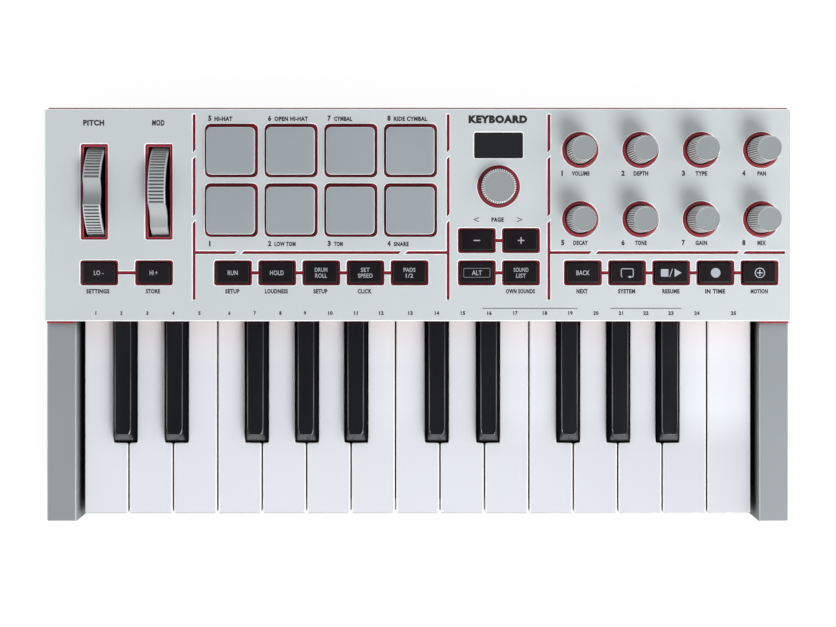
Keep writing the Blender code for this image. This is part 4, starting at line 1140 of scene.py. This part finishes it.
# ------------------------------------------------------------------ printing
LABELS = [
    ('5', -98.21, -96.71, 91.05, 93.63),
    ('6', -70.18, -68.68, 91.05, 93.63),
    ('7', -42.24, -40.74, 91.05, 93.63),
    ('8', -14.20, -12.70, 91.05, 93.63),
    ('HI-HAT', -95.31, -86.82, 91.02, 93.18),
    ('OPEN HI-HAT', -67.18, -51.43, 91.02, 93.18),
    ('CYMBAL', -39.24, -30.75, 91.02, 93.18),
    ('RIDE CYMBAL', -11.25, 4.50, 91.02, 93.18),
    ('1', -97.93, -97.04, 32.35, 34.93),
    ('2', -70.18, -68.68, 32.35, 34.93),
    ('3', -42.24, -40.74, 32.35, 34.93),
    ('4', -14.20, -12.70, 32.35, 34.93),
    ('LOW TOM', -67.18, -57.24, 32.33, 34.49),
    ('TOM', -39.24, -35.11, 32.33, 34.49),
    ('SNARE', -11.25, -4.22, 32.33, 34.49),
    ('SETTINGS', -155.34, -144.51, 10.16, 12.31),
    ('STORE', -127.48, -120.80, 10.16, 12.31),
    ('SETUP', -90.21, -83.53, 10.16, 12.31),
    ('LOUDNESS', -71.66, -60.83, 10.16, 12.31),
    ('SETUP', -48.95, -42.27, 10.16, 12.31),
    ('CLICK', -28.19, -21.51, 10.16, 12.31),
    ('OWN SOUNDS', 41.35, 54.94, 10.16, 12.31),
    ('NEXT', 74.42, 79.72, 10.16, 12.31),
    ('SYSTEM', 93.90, 101.96, 10.16, 12.31),
    ('RESUME', 114.67, 122.73, 10.16, 12.31),
    ('IN TIME', 134.70, 144.14, 10.16, 12.31),
    ('MOTION', 156.06, 164.13, 10.16, 12.31),
    ('1', 67.23, 68.12, 65.31, 67.89),
    ('VOLUME', 72.20, 80.54, 65.38, 67.54),
    ('2', 95.49, 96.99, 65.31, 67.89),
    ('DEPTH', 101.18, 108.09, 65.38, 67.54),
    ('3', 123.81, 125.31, 65.31, 67.89),
    ('TYPE', 130.21, 135.69, 65.38, 67.54),
    ('4', 152.13, 153.63, 65.31, 67.89),
    ('PAN', 159.24, 163.29, 65.38, 67.54),
    ('5', 67.23, 68.73, 32.78, 35.35),
    ('DECAY', 72.91, 79.82, 32.85, 35.00),
    ('6', 95.49, 96.99, 32.78, 35.35),
    ('TONE', 101.89, 107.38, 32.85, 35.00),
    ('7', 123.81, 125.31, 32.78, 35.35),
    ('GAIN', 130.21, 135.69, 32.85, 35.00),
    ('8', 152.13, 153.63, 32.78, 35.35),
    ('MIX', 159.24, 163.29, 32.85, 35.00),
    ('PAGE', 34.57, 40.34, 43.72, 45.88),
    ('1', -151.21, -150.51, 0.10, 1.93),
    ('2', -139.44, -138.37, 0.10, 1.93),
    ('3', -127.26, -126.18, 0.10, 1.93),
    ('4', -115.07, -113.99, 0.10, 1.93),
    ('5', -102.88, -101.80, 0.10, 1.93),
    ('6', -88.81, -87.74, 0.10, 1.93),
    ('7', -76.86, -75.78, 0.10, 1.93),
    ('8', -64.91, -63.83, 0.10, 1.93),
    ('9', -53.42, -52.34, 0.10, 1.93),
    ('10', -41.98, -39.87, 0.10, 1.93),
    ('11', -29.84, -28.10, 0.10, 1.93),
    ('12', -18.07, -15.96, 0.10, 1.93),
    ('13', -4.48, -2.37, 0.10, 1.93),
    ('14', 7.95, 10.06, 0.10, 1.93),
    ('15', 20.13, 22.24, 0.10, 1.93),
    ('16', 32.56, 34.67, 0.10, 1.93),
    ('17', 44.75, 46.86, 0.10, 1.93),
    ('18', 58.58, 60.69, 0.10, 1.93),
    ('19', 70.53, 72.64, 0.10, 1.93),
    ('20', 82.30, 84.78, 0.10, 1.93),
    ('21', 94.21, 96.31, 0.10, 1.93),
    ('22', 105.74, 108.22, 0.10, 1.93),
    ('23', 117.46, 119.94, 0.10, 1.93),
    ('24', 129.65, 132.13, 0.10, 1.93),
    ('25', 146.76, 149.24, 0.10, 1.93),
    ('PITCH', -156.81, -146.97, 88.82, 91.63),
    ('MOD', -124.51, -118.70, 88.82, 91.63),
    ('KEYBOARD', 23.84, 51.36, 89.95, 93.79),
]


def glyphs(text, x0, x1, y0, y1, z, thick=0.03, weight=0.024):
    """Plain built-in lettering, fitted to a box on a flat surface."""
    curve = bpy.data.curves.new("lettering", "FONT")
    curve.body = text
    curve.size = 1.0
    curve.extrude = 0.5
    curve.offset = weight
    curve.space_character = 1.0 + weight * 2.2
    curve.resolution_u = 3
    o = bpy.data.objects.new("lettering", curve)
    COL.objects.link(o)
    bpy.context.view_layer.update()
    graph = bpy.context.evaluated_depsgraph_get()
    mesh = o.evaluated_get(graph).to_mesh()
    pts = [v.co.copy() for v in mesh.vertices]
    faces = [tuple(p.vertices) for p in mesh.polygons]
    lx, hx = min(p.x for p in pts), max(p.x for p in pts)
    ly, hy = min(p.y for p in pts), max(p.y for p in pts)
    sx = (x1 - x0) / (hx - lx)
    sy = (y1 - y0) / (hy - ly)
    if text == "1":
        # a lone stroke keeps its own proportions
        middle = (x0 + x1) / 2
        sx = sy * 0.8
        x0 = middle - (hx - lx) * sx / 2
    verts = [(x0 + (p.x - lx) * sx, y0 + (p.y - ly) * sy, z + (p.z + 0.5) * thick) for p in pts]
    o.evaluated_get(graph).to_mesh_clear()
    bpy.data.objects.remove(o, do_unlink=True)
    bpy.data.curves.remove(curve)
    return verts, faces


ink = []
for text, x0, x1, y0, y1 in LABELS:
    ink.append(glyphs(text, x0, x1, y0, y1, Z_TOP - 0.005, weight=0.10 if text == "1" else 0.075 if y1 - y0 > 3.0 else 0.055))
# thin rules over groups of small labels, and bank arrows
flat = lambda pts: slab(pts, [], Z_TOP - 0.005, Z_TOP + 0.025)
bar = lambda x0, x1, y, t=0.32: flat([(x0, y - t / 2), (x1, y - t / 2), (x1, y + t / 2), (x0, y + t / 2)])
ink.append(bar(30.3, 74.9, 3.25))
ink.append(bar(90.3, 123.6, 3.25))
for x, s in ((27.3, -1), (47.9, 1)):
    y, w, h, t = 44.85, 1.28, 1.2, 0.36
    pts = [(x - s * w, y + h), (x + s * w, y), (x - s * w, y - h), (x - s * w, y - h + t * 1.4), (x + s * (w - t * 1.9), y), (x - s * w, y + h - t * 1.4)]
    ink.append(flat(ccw(pts)))
piece("panel_print", *join(ink), INK, "chassis", sharp=20.0)

BTN_PRINT = {
    "button_octave_down": [("LO -", 0.0, 2.2)],
    "button_octave_up": [("HI +", 0.0, 2.2)],
    "button_arpeggiator": [("RUN", 0.0, 2.2)],
    "button_latch": [("HOLD", 0.0, 2.2)],
    "button_note_repeat": [("DRUM", 1.4, 1.95), ("ROLL", -1.35, 1.95)],
    "button_tap_tempo": [("SET", 1.4, 1.95), ("SPEED", -1.35, 1.95)],
    "button_pad_bank": [("PADS", 1.4, 1.95), ("1/2", -1.35, 1.95)],
    "button_shift": [("ALT", 0.0, 2.2)],
    "button_preset": [("SOUND", 1.4, 1.95), ("LIST", -1.35, 1.95)],
    "button_undo": [("BACK", 0.0, 2.2)],
}
NARROW = {"W": 1.4, "M": 1.25, "H": 1.1, "I": 0.3, " ": 0.35, "-": 0.55, "/": 0.5, "+": 0.6}


def decal(loop, z, holes=()):
    return slab(ccw(loop), [ccw(h) for h in holes], z, z + 0.03)


def block(x0, x1, y0, y1, z):
    return decal([(x0, y0), (x1, y0), (x1, y1), (x0, y1)], z)


for name, c in BUTTONS.items():
    z = BTN_TOP - 0.003
    x, y = c.x, c.y
    marks = []
    for text, dy, h in BTN_PRINT.get(name, []):
        w = h * 0.71 * sum(NARROW.get(ch, 1.0) for ch in text)
        marks.append(glyphs(text, x - w / 2, x + w / 2, y + dy - h / 2, y + dy + h / 2, z, weight=0.01))
    if name in ("button_minus", "button_plus"):
        marks.append(block(x - 1.55, x + 1.55, y - 0.26, y + 0.26, z))
    if name == "button_plus":
        marks.append(block(x - 0.26, x + 0.26, y + 0.26, y + 1.55, z))
        marks.append(block(x - 0.26, x + 0.26, y - 1.55, y - 0.26, z))
    if name == "button_shift":
        marks.append(decal(rounded(x, y, 12.4, 4.3, 0.45), z, [rounded(x, y, 12.14, 4.04, 0.32)]))
    if name == "button_loop":
        hw, hh, t, r = 3.0, 2.1, 0.38, 0.85
        q = r - t
        left, right, low, high = x - hw + r, x + hw - r, y - hh + r, y + hh - r
        outer = [(x + 1.5, y - hh)] + arc(right, low, r, -90, 0, 5) + arc(right, high, r, 0, 90, 5)
        outer += arc(left, high, r, 90, 180, 5) + arc(left, low, r, 180, 262, 5)
        inner = [(left - 0.1, y - hh + t)] + list(reversed(arc(left, low, q, 180, 250, 4))) + list(reversed(arc(left, high, q, 90, 180, 5)))
        inner += list(reversed(arc(right, high, q, 0, 90, 5))) + list(reversed(arc(right, low, q, -90, 0, 5))) + [(x + 1.5, y - hh + t)]
        marks.append(decal(outer + inner, z))
        mid = y - hh + t / 2
        marks.append(decal([(x + 1.6, mid - 0.62), (x + 1.6, mid + 0.62), (x + 0.0, mid)], z))
    if name == "button_play_stop":
        marks.append(block(x - 4.95, x - 1.45, y - 1.75, y + 1.75, z))
        marks.append(decal([(x - 1.0, y - 2.0), (x - 0.66, y - 2.0), (x + 0.68, y + 2.0), (x + 0.34, y + 2.0)], z))
        marks.append(decal([(x + 1.45, y - 1.9), (x + 4.75, y), (x + 1.45, y + 1.9)], z))
    if name == "button_record":
        marks.append(decal(circle(x, y, 2.25, 48), z))
    if name == "button_overdub":
        marks.append(decal(circle(x, y, 2.4, 48), z, [circle(x, y, 1.98, 48)]))
        marks.append(block(x - 1.35, x + 1.35, y - 0.25, y + 0.25, z))
        marks.append(block(x - 0.25, x + 0.25, y + 0.25, y + 1.35, z))
        marks.append(block(x - 0.25, x + 0.25, y - 1.35, y - 0.25, z))
    if marks:
        piece(name + "_print", *join(marks), INK_LIGHT, name, sharp=20.0)

# ------------------------------------------------------------------ floor, light, camera
scene = bpy.context.scene
mesh = bpy.data.meshes.new("floor")
mesh.from_pydata([(-4, -4, -0.0002), (4, -4, -0.0002), (4, 4, -0.0002), (-4, 4, -0.0002)], [], [(0, 1, 2, 3)])
floor = bpy.data.objects.new("floor", mesh)
COL.objects.link(floor)
t = Mat("floor_pale_paper")
t.link(t.mix(t.span(t.noise(3.0, 3.0), 0.3, 0.7), (0.30, 0.30, 0.30), (0.32, 0.32, 0.32)), t.p.inputs["Base Color"])
t.p.inputs["Emission Color"].default_value = (1.0, 1.0, 1.0, 1.0)
seen = t.node("ShaderNodeLightPath")
t.link(t.span(seen.outputs["Is Camera Ray"], 0.0, 1.0, 0.42, 0.86), t.p.inputs["Emission Strength"])
t.p.inputs["Roughness"].default_value = 0.9
t.p.inputs["Specular IOR Level"].default_value = 0.1
# clear from below, so the underside of the case can be looked at
side = t.node("ShaderNodeNewGeometry")
clear = t.node("ShaderNodeBsdfTransparent")
blend = t.node("ShaderNodeMixShader")
t.link(side.outputs["Backfacing"], blend.inputs[0])
t.link(t.p.outputs["BSDF"], blend.inputs[1])
t.link(clear.outputs["BSDF"], blend.inputs[2])
t.link(blend.outputs["Shader"], t.nt.nodes["Material Output"].inputs["Surface"])
mesh.materials.append(t.m)

world = bpy.data.worlds.new("studio")
scene.world = world
world.use_nodes = True
wnt = world.node_tree
bg = wnt.nodes["Background"]
bg.inputs["Color"].default_value = (1.0, 1.0, 1.0, 1.0)
# a ring of soft light from the sides with a dim patch overhead, and plain white to the camera
coord = wnt.nodes.new("ShaderNodeTexCoord")
split = wnt.nodes.new("ShaderNodeSeparateXYZ")
wnt.links.new(coord.outputs["Generated"], split.inputs["Vector"])
dim = wnt.nodes.new("ShaderNodeMapRange")
dim.interpolation_type = "SMOOTHSTEP"
dim.inputs["From Min"].default_value = 0.70
dim.inputs["From Max"].default_value = 0.93
dim.inputs["To Min"].default_value = 0.56
dim.inputs["To Max"].default_value = 0.05
wnt.links.new(split.outputs["Z"], dim.inputs["Value"])
path = wnt.nodes.new("ShaderNodeLightPath")
pick = wnt.nodes.new("ShaderNodeMix")
pick.data_type = "FLOAT"
wnt.links.new(path.outputs["Is Camera Ray"], pick.inputs[0])
wnt.links.new(dim.outputs["Result"], pick.inputs[2])
pick.inputs[3].default_value = 1.0
wnt.links.new(pick.outputs[0], bg.inputs["Strength"])


def lamp(name, where, target, size, power, size_y=None, colour=(1, 1, 1)):
    data = bpy.data.lights.new(name, "AREA")
    data.energy = power
    data.color = colour
    data.shape = "RECTANGLE" if size_y else "SQUARE"
    data.size = size
    if size_y:
        data.size_y = size_y
    o = bpy.data.objects.new(name, data)
    COL.objects.link(o)
    o.location = where
    o.rotation_mode = "QUATERNION"
    o.rotation_quaternion = (Vector(target) - Vector(where)).to_track_quat("-Z", "Y")
    return o


lamp("key_softbox", (0.52, -0.78, 1.05), (0.0, 0.02, 0.0), 0.64, 13.6, 0.64)
lamp("fill_right", (0.80, 0.10, 0.55), (0.0, 0.0, 0.0), 0.4, 1.2, 0.6)
lamp("fill_rear", (-0.15, 1.0, 0.95), (0.0, 0.0, 0.0), 0.9, 1.2, 0.5)
lamp("front_fill", (0.0, -1.6, 0.34), (0.0, 0.0, 0.02), 2.0, 2.2, 0.6)

for name, where, size, power, size_y in (
    ("edge_left", (-1.0, -0.05, 0.62), 0.35, 5.0, 1.2),
    ("edge_right", (1.0, -0.05, 0.62), 0.35, 3.0, 1.2),
    ("edge_front", (0.0, -1.1, 0.75), 2.4, 4.0, 0.3),
    ("front_strip", (0.0, -1.6, 0.28), 2.0, 4.4, 0.5),
    ("glint_left", (-0.86, -0.46, 1.0), 0.30, 4.0, 0.30),
    ("glint_right", (0.86, -0.46, 1.0), 0.30, 3.4, 0.30),
):
    strip = lamp(name, where, (0.0, 0.0, 0.02), size, power, size_y)
    strip.visible_diffuse = False
    strip.visible_transmission = False

cam_data = bpy.data.cameras.new("camera")
cam = bpy.data.objects.new("camera", cam_data)
COL.objects.link(cam)
cam.location = (-0.00014, 0.0328, 0.678)
cam.rotation_mode = "QUATERNION"
cam.rotation_quaternion = (1.0, 0.0, 0.0, 0.0)
cam_data.sensor_width = 36.0
cam_data.lens = 58.79
cam_data.shift_x = 0.0007
cam_data.clip_start = 0.01
cam_data.clip_end = 50.0
# the picture was framed with its centre in front of the lens axis; other views are centred
driver = cam_data.driver_add("shift_y").driver
driver.type = "SCRIPTED"
for key, channel in (("z", "LOC_Z"), ("y", "LOC_Y")):
    v = driver.variables.new()
    v.name = key
    v.type = "TRANSFORMS"
    v.targets[0].id = cam
    v.targets[0].transform_type = channel
    v.targets[0].transform_space = "WORLD_SPACE"
driver.expression = "-0.0816 if abs(z - 0.678) < 0.0005 and abs(y - 0.0328) < 0.0005 else 0.0"
scene.camera = cam
scene.view_settings.view_transform = "Standard"
scene.view_settings.look = "None"
scene.view_settings.exposure = 0.0
scene.view_settings.gamma = 1.0

bpy.context.view_layer.update()
